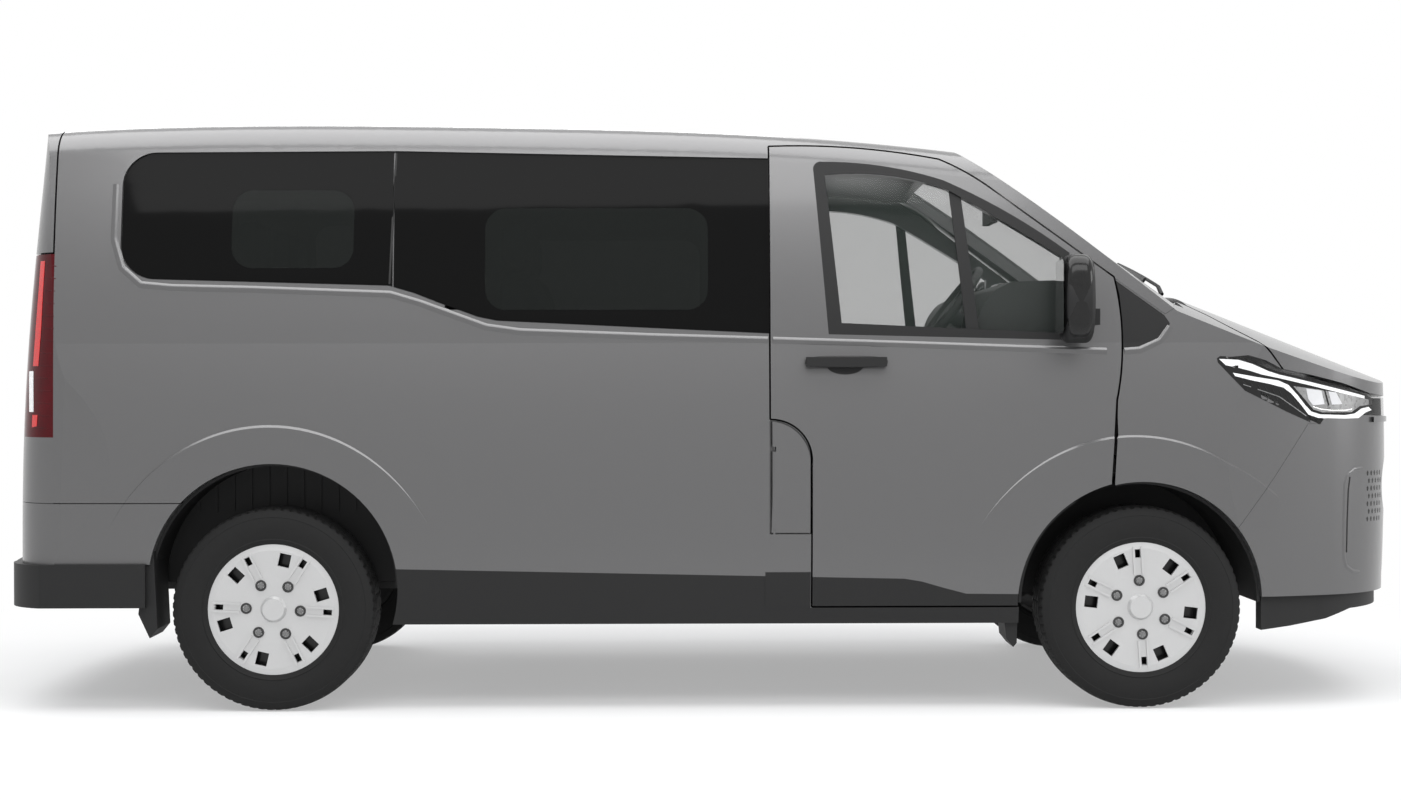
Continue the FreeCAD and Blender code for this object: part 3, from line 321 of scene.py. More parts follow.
# %% [markdown]
# Seats are woven cloth, and the dash is soft grained trim. Two sine waves multiplied give
# the up and down of a weave, which is cheaper than modelled threads and enough at this
# distance. A sheen makes the cloth's edge paler, as loose fibres do.

# %% Cloth and cabin trim
threads = 2600.0
cloth = Finish("seat_cloth", Roughness=0.9, Sheen_Weight=0.3)
x, y, _ = cloth.place()
weave = (x * threads).wave() * (y * threads).wave()
tone = cloth.noise(25.0, 3.0)
cloth.feed(Base_Color=cloth.blend(tone, grey(0.035), grey(0.07)), Normal=cloth.bump(weave, 0.3, 0.0008))

cabin = mottled("cabin_trim", 400.0, 3.0, grey(0.03), grey(0.055), None, (0.2, 0.0006), Roughness=0.65)
print("materials so far", len(bpy.data.materials))

# %% [markdown]
# ## Dressing the packed solids
# On the real vehicle a part is moulded or painted in one go, so each solid takes one finish.
# Choosing it face by face would be lost at the next pack. A table of names is not, and the
# shape and shading stay as they were packed.

# %% Finishes on the packed solids
finish_of = {
    paint: "body_side_right body_side_left sliding_door roof door_right door_left fuel_flap bonnet "
           "front_bumper fender_right fender_left tailgate tail_panels",
    plastic: "sill_trims door_trim_right door_trim_left cowl grille front_lip rear_skirt arch_liners "
             "mud_flaps fuel_tank",
    dark_glass: "side_glass sliding_door_glass",
    back_glass: "tailgate_glass",
    cab_glass: "windscreen door_glass_right door_glass_left",
    lens: "headlamps",
    red_lens: "tail_lamps",
    silver: "wheel_front_right wheel_front_left wheel_rear_right wheel_rear_left",
    rubber: "tyre_front_right tyre_front_left tyre_rear_right tyre_rear_left",
    steel: "floor front_frame front_suspension rear_axle leaf_springs",
    cast: "engine knuckle_right knuckle_left",
    bare: "exhaust",
    cloth: "front_seats middle_seats rear_seats",
    cabin: "dash steering_wheel inside_mirror",
}
for finish, names in finish_of.items():
    for name in names.split():
        mesh = nodes[name].data
        mesh.materials.clear()
        mesh.materials.append(finish.material)
print("dressed", sum(len(names.split()) for names in finish_of.values()))

# %% [markdown]
# ## Tools for added pieces
# Each added piece is a mesh that rides on one of the moving bodies. The vehicle is the same
# on both sides, so most pieces are drawn on the right only. A mirror modifier would leave
# both halves on one body, and a door's twin has to ride on the other door. So the twin is a
# mesh of its own, with each face turned round, because mirroring turns it inside out.

# %% Pieces and their twins
rides_on = {}


def piece(name, verts, faces, finish, body, slot, degrees=35.0):
    """A mesh that rides on a body, smooth except at edges sharper than some degrees."""
    mesh = bpy.data.meshes.new(name)
    mesh.from_pydata([tuple(v) for v in verts], [], faces)
    mesh.validate()
    mesh.shade_smooth()
    mesh.set_sharp_from_angle(angle=math.radians(degrees))
    mesh.materials.append(finish.material)
    made = bpy.data.objects.new(name, mesh)
    bpy.context.scene.collection.objects.link(made)
    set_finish(made, slot)
    rides_on[made.name] = body
    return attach(made, body)


def other_side(made, name=None):
    """A twin on the left. Its name and its body are the same, with left for right."""
    name = name or made.name.replace("right", "left")
    body = rides_on[made.name].replace("right", "left")
    flipped = [(x, -y, z) for x, y, z in (v.co for v in made.data.vertices)]
    faces = [tuple(reversed(p.vertices)) for p in made.data.polygons]
    return piece(name, flipped, faces, Finish.named[made.data.materials[0].name], body, made["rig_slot"])


def left_only(made, name):
    """A piece that is on the left alone: the one drawn on the right goes."""
    other_side(made, name)
    bpy.data.objects.remove(made)


def box(name, low, high, finish, body, slot):
    corners = [(x, y, z) for x in (low[0], high[0]) for y in (low[1], high[1]) for z in (low[2], high[2])]
    faces = [(0, 1, 3, 2), (4, 6, 7, 5), (0, 4, 5, 1), (2, 3, 7, 6), (0, 2, 6, 4), (1, 5, 7, 3)]
    return piece(name, corners, faces, finish, body, slot)


def tube(rows, ring, closed=False):
    """Faces between rows of points, where each row is a ring. A closed tube joins its ends."""
    joins = [(i * ring, (i + 1) % rows * ring) for i in range(rows if closed else rows - 1)]
    return [(i + k, i + (k + 1) % ring, j + (k + 1) % ring, j + k) for i, j in joins for k in range(ring)]


print("finishes to choose from", len(Finish.named))

# %% [markdown]
# Small pieces such as lamp strips have to lie on the curved body. A shrinkwrap modifier
# could pull them there, but it bends them as it likes. Here a ray is sent across the
# vehicle at a place in the side view and meets the panel, so a line drawn in the side view
# becomes a line on the real surface. A BVH tree, which sorts faces by place, is quick.

# %% Finding the surface
beside, flank_y = -1.6, -0.95    # y well to the right of everything, and y about on the flank
behind, tail_x = -3.0, -2.4


def surface_of(*names):
    verts, faces = [], []
    for name in names:
        mesh = nodes[name].data
        start = len(verts)
        verts += [v.co.copy() for v in mesh.vertices]
        faces += [[start + i for i in p.vertices] for p in mesh.polygons]
    return BVHTree.FromPolygons(verts, faces)


def meet(tree, start, way, near):
    """Where a ray meets a surface, or else its nearest point, and which way it faces there."""
    hit, normal, _, _ = tree.ray_cast(Vector(start), Vector(way))
    if hit is None:
        hit, normal, _, _ = tree.find_nearest(Vector(near))
    return hit, normal if normal.dot(Vector(way)) < 0 else -normal


flank = surface_of("body_side_right", "door_right", "fender_right", "cowl", "headlamps", "front_bumper",
                   "tail_lamps", "tail_panels", "tailgate", "side_glass", "door_glass_right", "fuel_flap",
                   "door_trim_right", "sill_trims", "rear_skirt", "front_lip")
panel = surface_of("door_right", "front_bumper", "fender_right", "body_side_right")


def on_flank(x, z):
    """The right-hand surface at a place in the side view."""
    return meet(flank, (x, beside, z), (0, 1, 0), (x, flank_y, z))


def on_panel(x, z):
    """The bare panel, behind handles and trims."""
    return meet(panel, (x, beside, z), (0, 1, 0), (x, flank_y, z))


def on_tail(y, z):
    """The tail at a place in the rear view."""
    return meet(flank, (behind, y, z), (1, 0, 0), (tail_x, y, z))


print("flank at the fuel flap", [round(v, 3) for v in on_flank(0.3, 0.8)[0]])

# %% [markdown]
# Beads, seals and wiper blades are all one small section carried along a line. A curve with
# a bevel does that too, but it turns freely about its line. This section keeps its foot
# towards the surface, because every point of the line brings its normal with it.


# %% Strips along a line
def spread(points, step):
    """Extra points along a line, so that it can follow a curve."""
    out = [Vector(points[0])]
    for a, b in zip(points, points[1:]):
        a, b = Vector(a), Vector(b)
        count = max(1, math.ceil((b - a).length / step))
        out += [a.lerp(b, i / count) for i in range(1, count + 1)]
    return out


def strip(name, path, section, finish, body, slot, closed=False, degrees=35.0):
    """A section (across, outward) carried along a path of (point, outward normal)."""
    verts = []
    count, ring = len(path), len(section)
    for i, (at, normal) in enumerate(path):
        before = path[(i - 1) % count if closed else max(i - 1, 0)][0]
        after = path[(i + 1) % count if closed else min(i + 1, count - 1)][0]
        along = (after - before).normalized()
        across = along.cross(normal).normalized()
        out = across.cross(along).normalized()
        verts += [at + across * u + out * v for u, v in section]
    faces = [(a, d, c, b) for a, b, c, d in tube(count, ring, closed)]
    if not closed:
        faces += [tuple(range(ring)), tuple(reversed(range((count - 1) * ring, count * ring)))]
    return piece(name, verts, faces, finish, body, slot, degrees)


def rounded(width, height, sink=0.001, steps=6):
    """A low rounded section, its foot sunk a little into the panel."""
    turns = [math.pi * i / steps for i in range(steps + 1)]
    top = [(-width / 2 * math.cos(t), height * math.sin(t)) for t in turns]
    return [(-width / 2, -sink)] + top + [(width / 2, -sink)]


def guide(name, drawn, width, height, finish, slot, lift=0.0, body="body", find=on_flank, both=True):
    """A light guide or bead along a drawn line on the surface."""
    path = [(at + normal * lift, normal) for at, normal in (find(p.x, p.y) for p in spread(drawn, 0.015))]
    made = strip(name + "_right", path, rounded(width, height), finish, body, slot)
    if both:
        other_side(made)
    return made


print("points in a rounded section", len(rounded(0.01, 0.002)))

# %% [markdown]
# Lenses and plates have an outline instead of a line. Their inside needs points too, or a
# wide plate would cut straight through a curved panel. Filling the outline with one big
# face can't follow a curve, so a Delaunay triangulation joins the outline to a grid of
# points, and each point is then dropped on the surface.


# %% Plates on the surface
def skin_patch(name, outline, finish, body, slot, lift=0.0, step=0.02, find=on_flank, thick=0.001):
    """A thin plate in a drawn outline, laid on the surface: lift is how far out its face stands."""
    ring = spread(outline + outline[:1], step)[:-1]
    xs, zs = [p.x for p in ring], [p.y for p in ring]
    grid = [Vector((x, z)) for x in np.arange(min(xs) + step / 2, max(xs), step)
            for z in np.arange(min(zs) + step / 2, max(zs), step)]
    edges = [(i, (i + 1) % len(ring)) for i in range(len(ring))]
    points, _, triangles, *_ = delaunay_2d_cdt(ring + grid, edges, [list(range(len(ring)))], 1, 1e-5)
    hits = [find(p.x, p.y) for p in points]
    verts = [at + normal * lift for at, normal in hits] + [at + normal * (lift - thick) for at, normal in hits]
    count = len(points)
    faces, sides = [], {}
    for a, b, c in triangles:
        normal = (verts[b] - verts[a]).cross(verts[c] - verts[a])
        tri = (a, b, c) if normal.dot(hits[a][1]) > 0 else (a, c, b)
        faces += [tri, tuple(count + i for i in reversed(tri))]
        sides.update(dict.fromkeys(zip(tri, tri[1:] + tri[:1])))
    faces += [(j, i, count + i, count + j) for i, j in sides if (j, i) not in sides]
    return piece(name, verts, faces, finish, body, slot)


# %% [markdown]
# ## Tyres
# A tyre is a ring with rounded shoulders, a raised bead line and a cut tread. It could be a
# torus with a bump, but then its outline would stay smooth where the grooves should show.
# So a profile is carried round the axle, and the grooves are lowered in the mesh itself.

# %% Tyre profile
tyre_radius = 0.343
tyre_outer_y = 0.965
tyre_width = 0.215
crown_drop = 0.0004
groove_centres = (-0.054, -0.018, 0.018, 0.054)
groove_half = 0.0045
groove_flank = 0.001
groove_depth = 0.008


def tyre_profile():
    """Radius and offset from the tyre's middle, from the outer bead over the tread to the inner."""
    side = [(0.215, 0.0875), (0.224, 0.098), (0.232, 0.1005), (0.236, 0.103), (0.240, 0.1015), (0.262, 0.1065),
            (0.285, 0.1072), (0.300, 0.1055), (0.3105, 0.1035), (0.3125, 0.1045), (0.3155, 0.1035),
            (0.326, 0.0985), (0.3345, 0.0935)]
    tread = [(0.3388, 0.0895), (0.3405, 0.0835)]
    for centre in reversed(groove_centres):
        for shift, low in ((groove_half + groove_flank, 0), (groove_half, 1), (-groove_half, 1),
                           (-groove_half - groove_flank, 0)):
            tread.append((tyre_radius - crown_drop - groove_depth * low, centre + shift))
    tread += [(0.3405, -0.0835), (0.3388, -0.0895)]
    return side + tread + [(r, -o) for r, o in reversed(side)]


print("profile points", len(tyre_profile()))

# %% [markdown]
# Across the tread run short cuts: one at each shoulder for every block, and shallower ones
# between the middle grooves. Cutting them out with booleans would be slow, so whole rows of
# points are set at a smaller radius instead.

# %% Tyres
blocks_round = 72
steps_round = blocks_round * 4
shoulder_cut, centre_cut = 0.0055, 0.003


def cut_depth(i, r, o):
    """How deep the tread is cut at a step round the tyre, a radius and an offset."""
    if i % 4 == 0 and 0.060 < abs(o) < 0.0905 and r > 0.3385:
        return shoulder_cut
    return centre_cut if (i + 2) % 8 == 0 and abs(o) < 0.05 and r > 0.341 else 0.0


def tyre(name, x, sign, body, node):
    profile = tyre_profile()
    verts = []
    middle_y = sign * (tyre_outer_y - tyre_width / 2)
    for i in range(steps_round):
        angle = 2 * math.pi * i / steps_round
        for r, o in profile:
            radius = r - cut_depth(i, r, o)
            verts.append((x + radius * math.cos(angle), middle_y + sign * o, tyre_radius + radius * math.sin(angle)))
    faces = [quad if sign < 0 else quad[::-1] for quad in tube(steps_round, len(profile), True)]
    made = piece(name, verts, faces, rubber, body, "tyre_rubber", 32.0)
    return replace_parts(made, node)


axles = {"front": 1.459, "rear": -1.474}
for end, x in axles.items():
    for side, sign in (("right", -1), ("left", 1)):
        key = end + "_" + side
        tyre("tread_" + key, x, sign, "wheel_" + key, "tyre_" + key)
print("tyres", len(tyre_profile()) * steps_round, "points each")

# %% [markdown]
# ## Wheel nuts
# Six nuts show through each wheel cover, every one in a dark round washer. The packed cover
# has plain round ones, and a hexagon over each gives it flats that catch the light. A
# cylinder with six sides could be placed by hand, but a ray finds the cover's face and a
# short table of radius and height gives the nut its bevel.

# %% Washers and nuts
first_nut = {"front": math.radians(33.5), "rear": math.radians(-3.0)}
nut_circle = 0.091
washer_radius, face_radius = 0.0155, 0.0165
nut_rows = ((0.0106, 0.004), (0.0106, -0.0016), (0.0088, -0.0035), (0.0050, -0.0038))


def washer_and_nut(end, k, cx, cz, y):
    turns = [2 * math.pi * i / 24 for i in range(24)]
    ring = [(Vector((cx + washer_radius * math.cos(t), y - 0.0002, cz + washer_radius * math.sin(t))),
             Vector((0, -1, 0))) for t in turns]
    hexagon = [(cx + r * math.cos(math.pi * i / 3), y + out, cz + r * math.sin(math.pi * i / 3))
               for r, out in nut_rows for i in range(6)]
    faces = tube(len(nut_rows), 6) + [tuple(range(18, 24)), tuple(range(5, -1, -1))]
    wheel = "wheel_%s_right" % end
    other_side(strip("washer_%s%d_right" % (end, k), ring, rounded(0.007, 0.0016), steel, wheel, "dark_steel",
                     closed=True))
    other_side(piece("nut_%s%d_right" % (end, k), hexagon, faces, cast, wheel, "dark_steel"))


for end, x in axles.items():
    face = surface_of("wheel_%s_right" % end)
    for k in range(6):
        turn = first_nut[end] + math.pi * k / 3
        cx, cz = x + nut_circle * math.cos(turn), tyre_radius + nut_circle * math.sin(turn)
        hit, _, _, _ = face.ray_cast(Vector((cx + face_radius, -1.3, cz)), Vector((0, 1, 0)))
        washer_and_nut(end, k, cx, cz, hit.y)
print("nut face at y", round(hit.y, 4))

# %% [markdown]
# ## Headlamps
# Each headlamp is a clear cover that wraps round the corner. Behind it lie a dark ribbed
# housing, a white light guide along the top edge, a second guide in a Z, and two small
# projectors. Modelled in depth, they would have to cut into the wing. So they are thin
# plates laid on the outside, each half a millimetre or so further out than the last.

# %% Headlamp plates
lamp_outline = [(1.713, 1.186), (1.724, 1.194), (1.785, 1.191), (1.835, 1.175), (1.889, 1.152), (1.926, 1.142),
                (2.044, 1.114), (2.159, 1.088), (2.272, 1.061), (2.302, 1.049), (2.302, 1.025), (2.267, 1.019),
                (2.234, 0.996), (2.226, 0.984), (2.159, 0.982), (2.067, 0.986), (2.046, 0.968), (1.960, 1.004),
                (1.867, 1.048), (1.806, 1.077), (1.759, 1.126), (1.716, 1.172)]
top_guide = [(1.720, 1.184), (1.785, 1.181), (1.832, 1.167), (1.889, 1.143), (1.929, 1.131), (2.044, 1.106),
             (2.159, 1.080), (2.262, 1.057), (2.262, 1.048), (2.159, 1.068), (2.044, 1.094), (1.929, 1.119),
             (1.867, 1.131), (1.824, 1.144), (1.785, 1.154), (1.742, 1.163)]
z_guide = [(1.766, 1.137), (1.846, 1.123), (1.926, 1.111), (1.962, 1.096), (1.996, 1.062), (2.025, 1.027),
           (2.048, 1.005), (2.082, 0.995), (2.179, 0.992), (2.217, 0.997), (2.248, 1.014), (2.281, 1.019),
           (2.296, 1.008), (2.266, 1.000), (2.234, 0.981), (2.179, 0.980), (2.074, 0.983), (2.037, 0.995),
           (2.007, 1.031), (1.973, 1.067), (1.944, 1.087), (1.896, 1.099), (1.824, 1.113), (1.773, 1.126)]
bowl = [(1.981, 1.092), (2.074, 1.080), (2.179, 1.064), (2.282, 1.044), (2.284, 1.027), (2.240, 1.022),
        (2.205, 1.002), (2.090, 1.002), (2.056, 1.012), (2.022, 1.049)]
near_lens = [(2.028, 1.084), (2.086, 1.076), (2.098, 1.030), (2.054, 1.026), (2.036, 1.048)]
far_lens = [(2.112, 1.074), (2.142, 1.070), (2.166, 1.030), (2.126, 1.028)]
lamp_parts = (("lamp_housing", lamp_outline, gloss_black, 0.0008), ("lamp_bowl", bowl, reflector, 0.0016),
              ("lamp_near_lens", near_lens, projector, 0.0026), ("lamp_far_lens", far_lens, projector, 0.0026),
              ("lamp_top_guide", top_guide, white_strip, 0.0022), ("lamp_z_guide", z_guide, white_strip, 0.0024))
for name, outline, finish, lift in lamp_parts:
    other_side(skin_patch(name + "_right", outline, finish, "body", "lamp_lens", lift=lift, step=0.012,
                          thick=0.0006))
print("lamp plates", len(lamp_parts), "on each side")

# %% [markdown]
# A bright rim runs under the projectors and a dark bar parts them. Fine ribs cross the back
# of the housing. A bump would give ribs too, but it fades at a grazing view, and here they
# are the only thing in the dark corner that shows depth. So they are real beads.

# %% Headlamp rim and ribs
outer_bead, rib_bead = (0.005, 0.0016), (0.003, 0.0012)
outer_lift, rib_lift = 0.0026, 0.0010
guide("lamp_rim", [(2.052, 1.022), (2.082, 1.013), (2.128, 1.008), (2.179, 1.008), (2.205, 1.012)], *outer_bead,
      chrome, "lamp_lens", lift=outer_lift)
guide("lamp_divider", [(2.099, 1.078), (2.114, 1.026)], *outer_bead, gloss_black, "lamp_lens", lift=outer_lift)
rib_count, lamp_rib_x, lamp_rib_pitch = 9, 1.800, 0.026
for k in range(rib_count):
    x = lamp_rib_x + lamp_rib_pitch * k
    high = 1.116 - 0.23 * (x - 1.78) - 0.35 * max(x - 1.93, 0.0)
    low = 1.083 - 0.43 * (x - 1.80)
    guide("lamp_rib%d" % k, [(x, high - 0.004), (x + 0.020, low + 0.006)], *rib_bead, plastic, "lamp_lens",
          lift=rib_lift)
guide("lamp_rib_rail", [(1.80, 1.098), (1.93, 1.056), (2.030, 0.990)], 0.003, 0.0014, reflector, "lamp_lens",
      lift=rib_lift)
print("ribs", rib_count, "in each headlamp")

# %% [markdown]
# ## Bumper corner
# The bumper's corner has a raised frame round a field of small holes, with a dark slot
# beside it. The frame is moulded with the bumper, so it is a strip in the same paint. It
# could be drawn into the solid, but a ridge this low is quicker to place on top.

# %% Corner frame and slot
frame_line = [(2.252, 0.808), (2.217, 0.806), (2.191, 0.789), (2.179, 0.755), (2.176, 0.632), (2.176, 0.508),
              (2.185, 0.473), (2.211, 0.455), (2.242, 0.449)]
frame_section = [(-0.009, -0.001), (-0.003, 0.0035), (0.003, 0.0035), (0.009, -0.001)]
corner_frame = strip("corner_frame_right", [on_panel(p.x, p.y) for p in spread(frame_line, 0.01)], frame_section,
                     paint, "body", "body_paint", degrees=50.0)
other_side(corner_frame)
guide("corner_slot", [(2.200, 0.780), (2.193, 0.735), (2.189, 0.632), (2.187, 0.520)], 0.007, 0.001, gloss_black,
      "black_plastic")
print("frame faces", len(corner_frame.data.polygons))

# %% [markdown]
# The holes are five-sided and set in staggered rows. Spaced evenly in the side view, they
# would spread apart where the corner turns away. So they are set out by walking over the
# curved surface in equal steps, and each is a dark tile a little proud of the paint.

# %% Corner holes
hole_rows, row_pitch, hole_pitch = 7, 0.0265, 0.026
hole_start_x, stagger, top_row_z = 2.279, 0.007, 0.790
corner_end_y = -0.700
most_holes = 40
hole_outline = ((0.0, 0.0085), (0.0056, 0.002), (0.0020, -0.0085), (-0.0020, -0.0085), (-0.0056, 0.002))
hole_proud, hole_thick = 0.0007, 0.0016


def level_way(normal):
    """The level direction along a surface, towards the middle of the nose."""
    return Vector((-normal.y, normal.x, 0)).normalized()


def walk(x, z, step, stop_y):
    """Points at equal steps round the corner at one height."""
    at, normal = on_panel(x, z)
    found = []
    while at.y < stop_y and len(found) < most_holes:
        found.append((at, normal))
        at, normal, _, _ = panel.find_nearest(at + level_way(normal) * step)
        at = Vector((at.x, at.y, z))
    return found


holes = 0
for row in range(hole_rows):
    z = top_row_z - row_pitch * row
    start_x = hole_start_x + (stagger if row % 2 else 0.0)
    for k, (at, normal) in enumerate(walk(start_x, z, hole_pitch, corner_end_y)):
        side = level_way(normal)
        front = [at + side * u + Vector((0, 0, v)) + normal * hole_proud for u, v in hole_outline]
        rear = [v - normal * hole_thick for v in front]
        faces = [(4, 3, 2, 1, 0), (5, 6, 7, 8, 9)] + [(i, 5 + i, 5 + (i + 1) % 5, (i + 1) % 5) for i in range(5)]
        other_side(piece("corner_hole_%d_%d_right" % (row, k), front + rear, faces, gloss_black, "body",
                         "black_plastic"))
        holes += 1
print("holes", holes, "in each corner")

# %% [markdown]
# ## Tail lamps
# The tail lamp is a tall deep-red block on the rear corner. A brighter guide runs down its
# rear edge, and a pale section for the reversing light sits below the middle. The block is
# packed as one solid, so only what is set into it is added, as plates and fine fins.

# %% Tail lamp details
tail_strip = [(-2.264, 1.520), (-2.270, 1.423), (-2.281, 1.287), (-2.290, 1.165), (-2.266, 1.165), (-2.256, 1.287),
              (-2.250, 1.423), (-2.244, 1.520)]
tail_pale = [(-2.289, 1.148), (-2.311, 1.148), (-2.306, 1.010), (-2.286, 1.010)]
tail_foot = [(-2.290, 1.000), (-2.268, 1.000), (-2.271, 0.962), (-2.292, 0.958)]
for name, outline, finish, slot in (("tail_strip", tail_strip, red_bright, "red_lens"),
                                    ("reversing_lens", tail_pale, white_strip, "lamp_lens"),
                                    ("tail_foot", tail_foot, red_bright, "red_lens")):
    other_side(skin_patch(name + "_right", outline, finish, "body", slot, lift=0.0014, step=0.012))
fin_count, fin_top, fin_pitch = 14, 1.505, 0.042
for k in range(fin_count):
    z = fin_top - fin_pitch * k
    guide("tail_fin%d" % k, [(-2.236 - 0.004 * k, z), (-2.200 - 0.0012 * k, z - 0.004)], *rib_bead, red_lens,
          "red_lens")
print("fins", fin_count, "on each tail lamp")

# %% [markdown]
# ## Pressed lines of the body
# A pressed line is a fold in the sheet, a few millimetres deep. From the side it shows as a
# thin light edge over a dark one. It could be a bump, but a bump has no outline where the
# line runs off the panel. A low bead of paint gives the light and dark edge and the outline.

# %% Pressed lines
fold = [(-0.012, -0.001), (-0.004, 0.0060), (0.0, 0.0065), (0.015, -0.001)]
belt_line = [(-2.006, 1.780), (-2.008, 1.591), (-1.980, 1.496), (-1.917, 1.440), (-1.811, 1.430), (-1.549, 1.424),
             (-1.079, 1.407), (-0.978, 1.377), (-0.755, 1.296), (-0.641, 1.280), (-0.203, 1.263), (0.195, 1.251)]
door_line = [(0.212, 1.250), (0.641, 1.237), (1.047, 1.222), (1.340, 1.212)]
fender_line = [(1.400, 1.212), (1.453, 1.216), (1.522, 1.247), (1.556, 1.294)]


def crease(name, drawn, body):
    path = [on_flank(p.x, p.y) for p in spread(drawn, 0.015)]
    return strip(name, path, fold, paint, body, "body_paint", degrees=50.0)


crease("belt_line_right", belt_line, "body")
other_side(crease("belt_line_door_right", door_line, "door_right"))
other_side(crease("belt_line_wing_right", fender_line, "body"))
left_only(crease("belt_line_rear", belt_line[:7], "body"), "belt_line_left")
print("belt line", round(fender_line[-1][0] - belt_line[0][0], 2), "m long on the right")

# %% [markdown]
# The sliding door on the left runs along a rail below its glass. Rubber covers the joint
# between the rear panes, and a plastic patch carries the sill trim up behind the cab door.
# All lie flat on the panel, so the same two tools make them from drawings in the side view.

# %% Rail, seal and foot trim
rail = guide("slide_rail", [(-1.10, 1.355), (-1.60, 1.360), (-2.02, 1.372)], 0.016, 0.003, seal_rubber,
             "black_plastic", both=False)
left_only(rail, "slide_rail_left")
guide("pane_seal", [(-1.065, 1.888), (-1.082, 1.440)], 0.007, 0.0022, seal_rubber, "black_plastic")
lower_trim = [(0.185, 0.466), (0.338, 0.466), (0.338, 0.344), (0.185, 0.344)]
skin_patch("foot_trim_right", lower_trim, plastic, "body", "black_plastic", lift=0.0014)
print("foot trim", round(lower_trim[1][0] - lower_trim[0][0], 3), "m long")

# %% [markdown]
# The rear arches are lined with plastic that has upright ribs behind the wheel. They show
# as fine lines in the dark above the tyre. Each is a plain box whose top follows the arch,
# which is a circle, so its height comes from the circle's equation and needs no ray.

# %% Ribs inside the rear arches
arch_ribs, first_rib_x, rib_pitch = 13, -1.840, 0.060
rib_width, rib_foot, rib_gap = 0.014, 0.66, 0.012
rib_outer_y, rib_inner_y = -0.7155, -0.7085
arch_x, arch_z, arch_radius = -1.481, 0.592, 0.420
for k in range(arch_ribs):
    x = first_rib_x + rib_pitch * k
    top = arch_z + math.sqrt(max(arch_radius ** 2 - (x - arch_x) ** 2, 0.0))
    other_side(box("arch_rib%d_right" % k, (x, rib_outer_y, rib_foot), (x + rib_width, rib_inner_y, top - rib_gap),
                   plastic, "body", "black_plastic"))
print("ribs", arch_ribs, "in each rear arch")

# %% [markdown]
# ## Rounded shells
# Handles, mirrors, cushions and head restraints are all boxes with soft edges. A cube with
# a bevel or a subdivision could make them, but each would need its own settings. In a
# superellipsoid one number, the power, goes from a ball to a box, and the sizes stay exact.


# %% A box with soft edges
def superellipsoid(name, low, high, power, finish, body, slot, rings=20, around=36):
    """A box with soft edges: the higher the power, the squarer it is."""
    middle = (Vector(low) + Vector(high)) / 2
    half = (Vector(high) - Vector(low)) / 2

    def bent(v):
        return math.copysign(abs(v) ** (2 / power), v)

    verts = []
    for i in range(1, rings):
        tall = -math.pi / 2 + math.pi * i / rings
        for j in range(around):
            turn = 2 * math.pi * j / around
            verts.append(middle + Vector((half.x * bent(math.cos(tall)) * bent(math.cos(turn)),
                                          half.y * bent(math.cos(tall)) * bent(math.sin(turn)),
                                          half.z * bent(math.sin(tall)))))
    ends = [tuple(reversed(range(around))), tuple(range((rings - 2) * around, (rings - 1) * around))]
    return piece(name, verts, tube(rings - 1, around) + ends, finish, body, slot, 40.0)


# %% [markdown]
# ## Door handles
# The handle is a bar that stands off the door over a shallow cup, so that fingers fit
# behind it. Cutting the cup into the door would change a packed solid. So the cup is painted
# shade: a black oval plate on the panel, a hair deeper in the middle, stands for the dark in it.

# %% Handles
handle_z, handle_half = 1.176, 0.020
handle_out, handle_in = 0.030, 0.006    # how far its outer and inner faces stand off the door
face_y = on_flank(0.36, 1.14)[0].y


def handle_bar(name, x0, x1, body):
    return superellipsoid(name, (x0, face_y - handle_out, handle_z - handle_half),
                          (x1, face_y - handle_in, handle_z + handle_half), 3.2, gloss_black, body,
                          "black_plastic")


other_side(handle_bar("handle_right", 0.318, 0.597, "door_right"))
cup_x, cup_z, cup_half_x, cup_half_z = 0.455, 1.163, 0.062, 0.030
cup_depth = 0.0002
turns = [2 * math.pi * i / 32 for i in range(32)]
cup_outline = [(cup_x + cup_half_x * math.cos(t), cup_z + cup_half_z * math.sin(t)) for t in turns]
# painted shade: a black plate on the painted door where the recess behind the handle falls in shadow
cup_shade = skin_patch("handle_cup_right", cup_outline, plastic, "door_right", "body_paint", lift=0.0008, step=0.012,
                 find=on_panel)
for v in cup_shade.data.vertices:
    far = math.hypot((v.co.x - cup_x) / cup_half_x, (v.co.z - cup_z) / cup_half_z)
    v.co.y -= cup_depth * (1 - min(far, 1.0))
other_side(cup_shade)
left_only(handle_bar("slide_handle_template", -0.160, 0.110, "body"), "slide_handle_left")
print("door face at y", round(face_y, 3))

# %% [markdown]
# The tailgate has a pull bar over the number plate's place and a brake lamp above its
# glass, and the dash has a screen and a hood over the dials. The first two follow the
# tail's curve, so they are strips found from behind. The others are soft-edged boxes.

# %% Tail and cabin details
guide("tailgate_pull", [(-0.36, 1.060), (0.36, 1.060)], 0.044, 0.010, gloss_black, "black_plastic",
      body="tailgate", find=on_tail, both=False)
guide("high_brake_lamp", [(-0.22, 1.905), (0.22, 1.905)], 0.020, 0.004, red_bright, "red_lens",
      body="tailgate", find=on_tail, both=False)
superellipsoid("centre_screen", (1.098, -0.130, 1.365), (1.126, 0.130, 1.478), 6.0, gloss_black, "body",
               "black_plastic")
superellipsoid("driver_hood", (1.03, -0.54, 1.33), (1.16, -0.22, 1.425), 3.0, cabin, "body", "black_plastic")
print("tail at the pull", [round(v, 3) for v in on_tail(0.0, 1.060)[0]])

# %% [markdown]
# ## Mirrors
# Each mirror is a rounded black shell on a short arm, with its glass facing back. The arm
# is packed with the door. The shell could be a beveled box, but its corners are soft in
# all directions, so it is the same soft-edged box, with more rings because it is large.

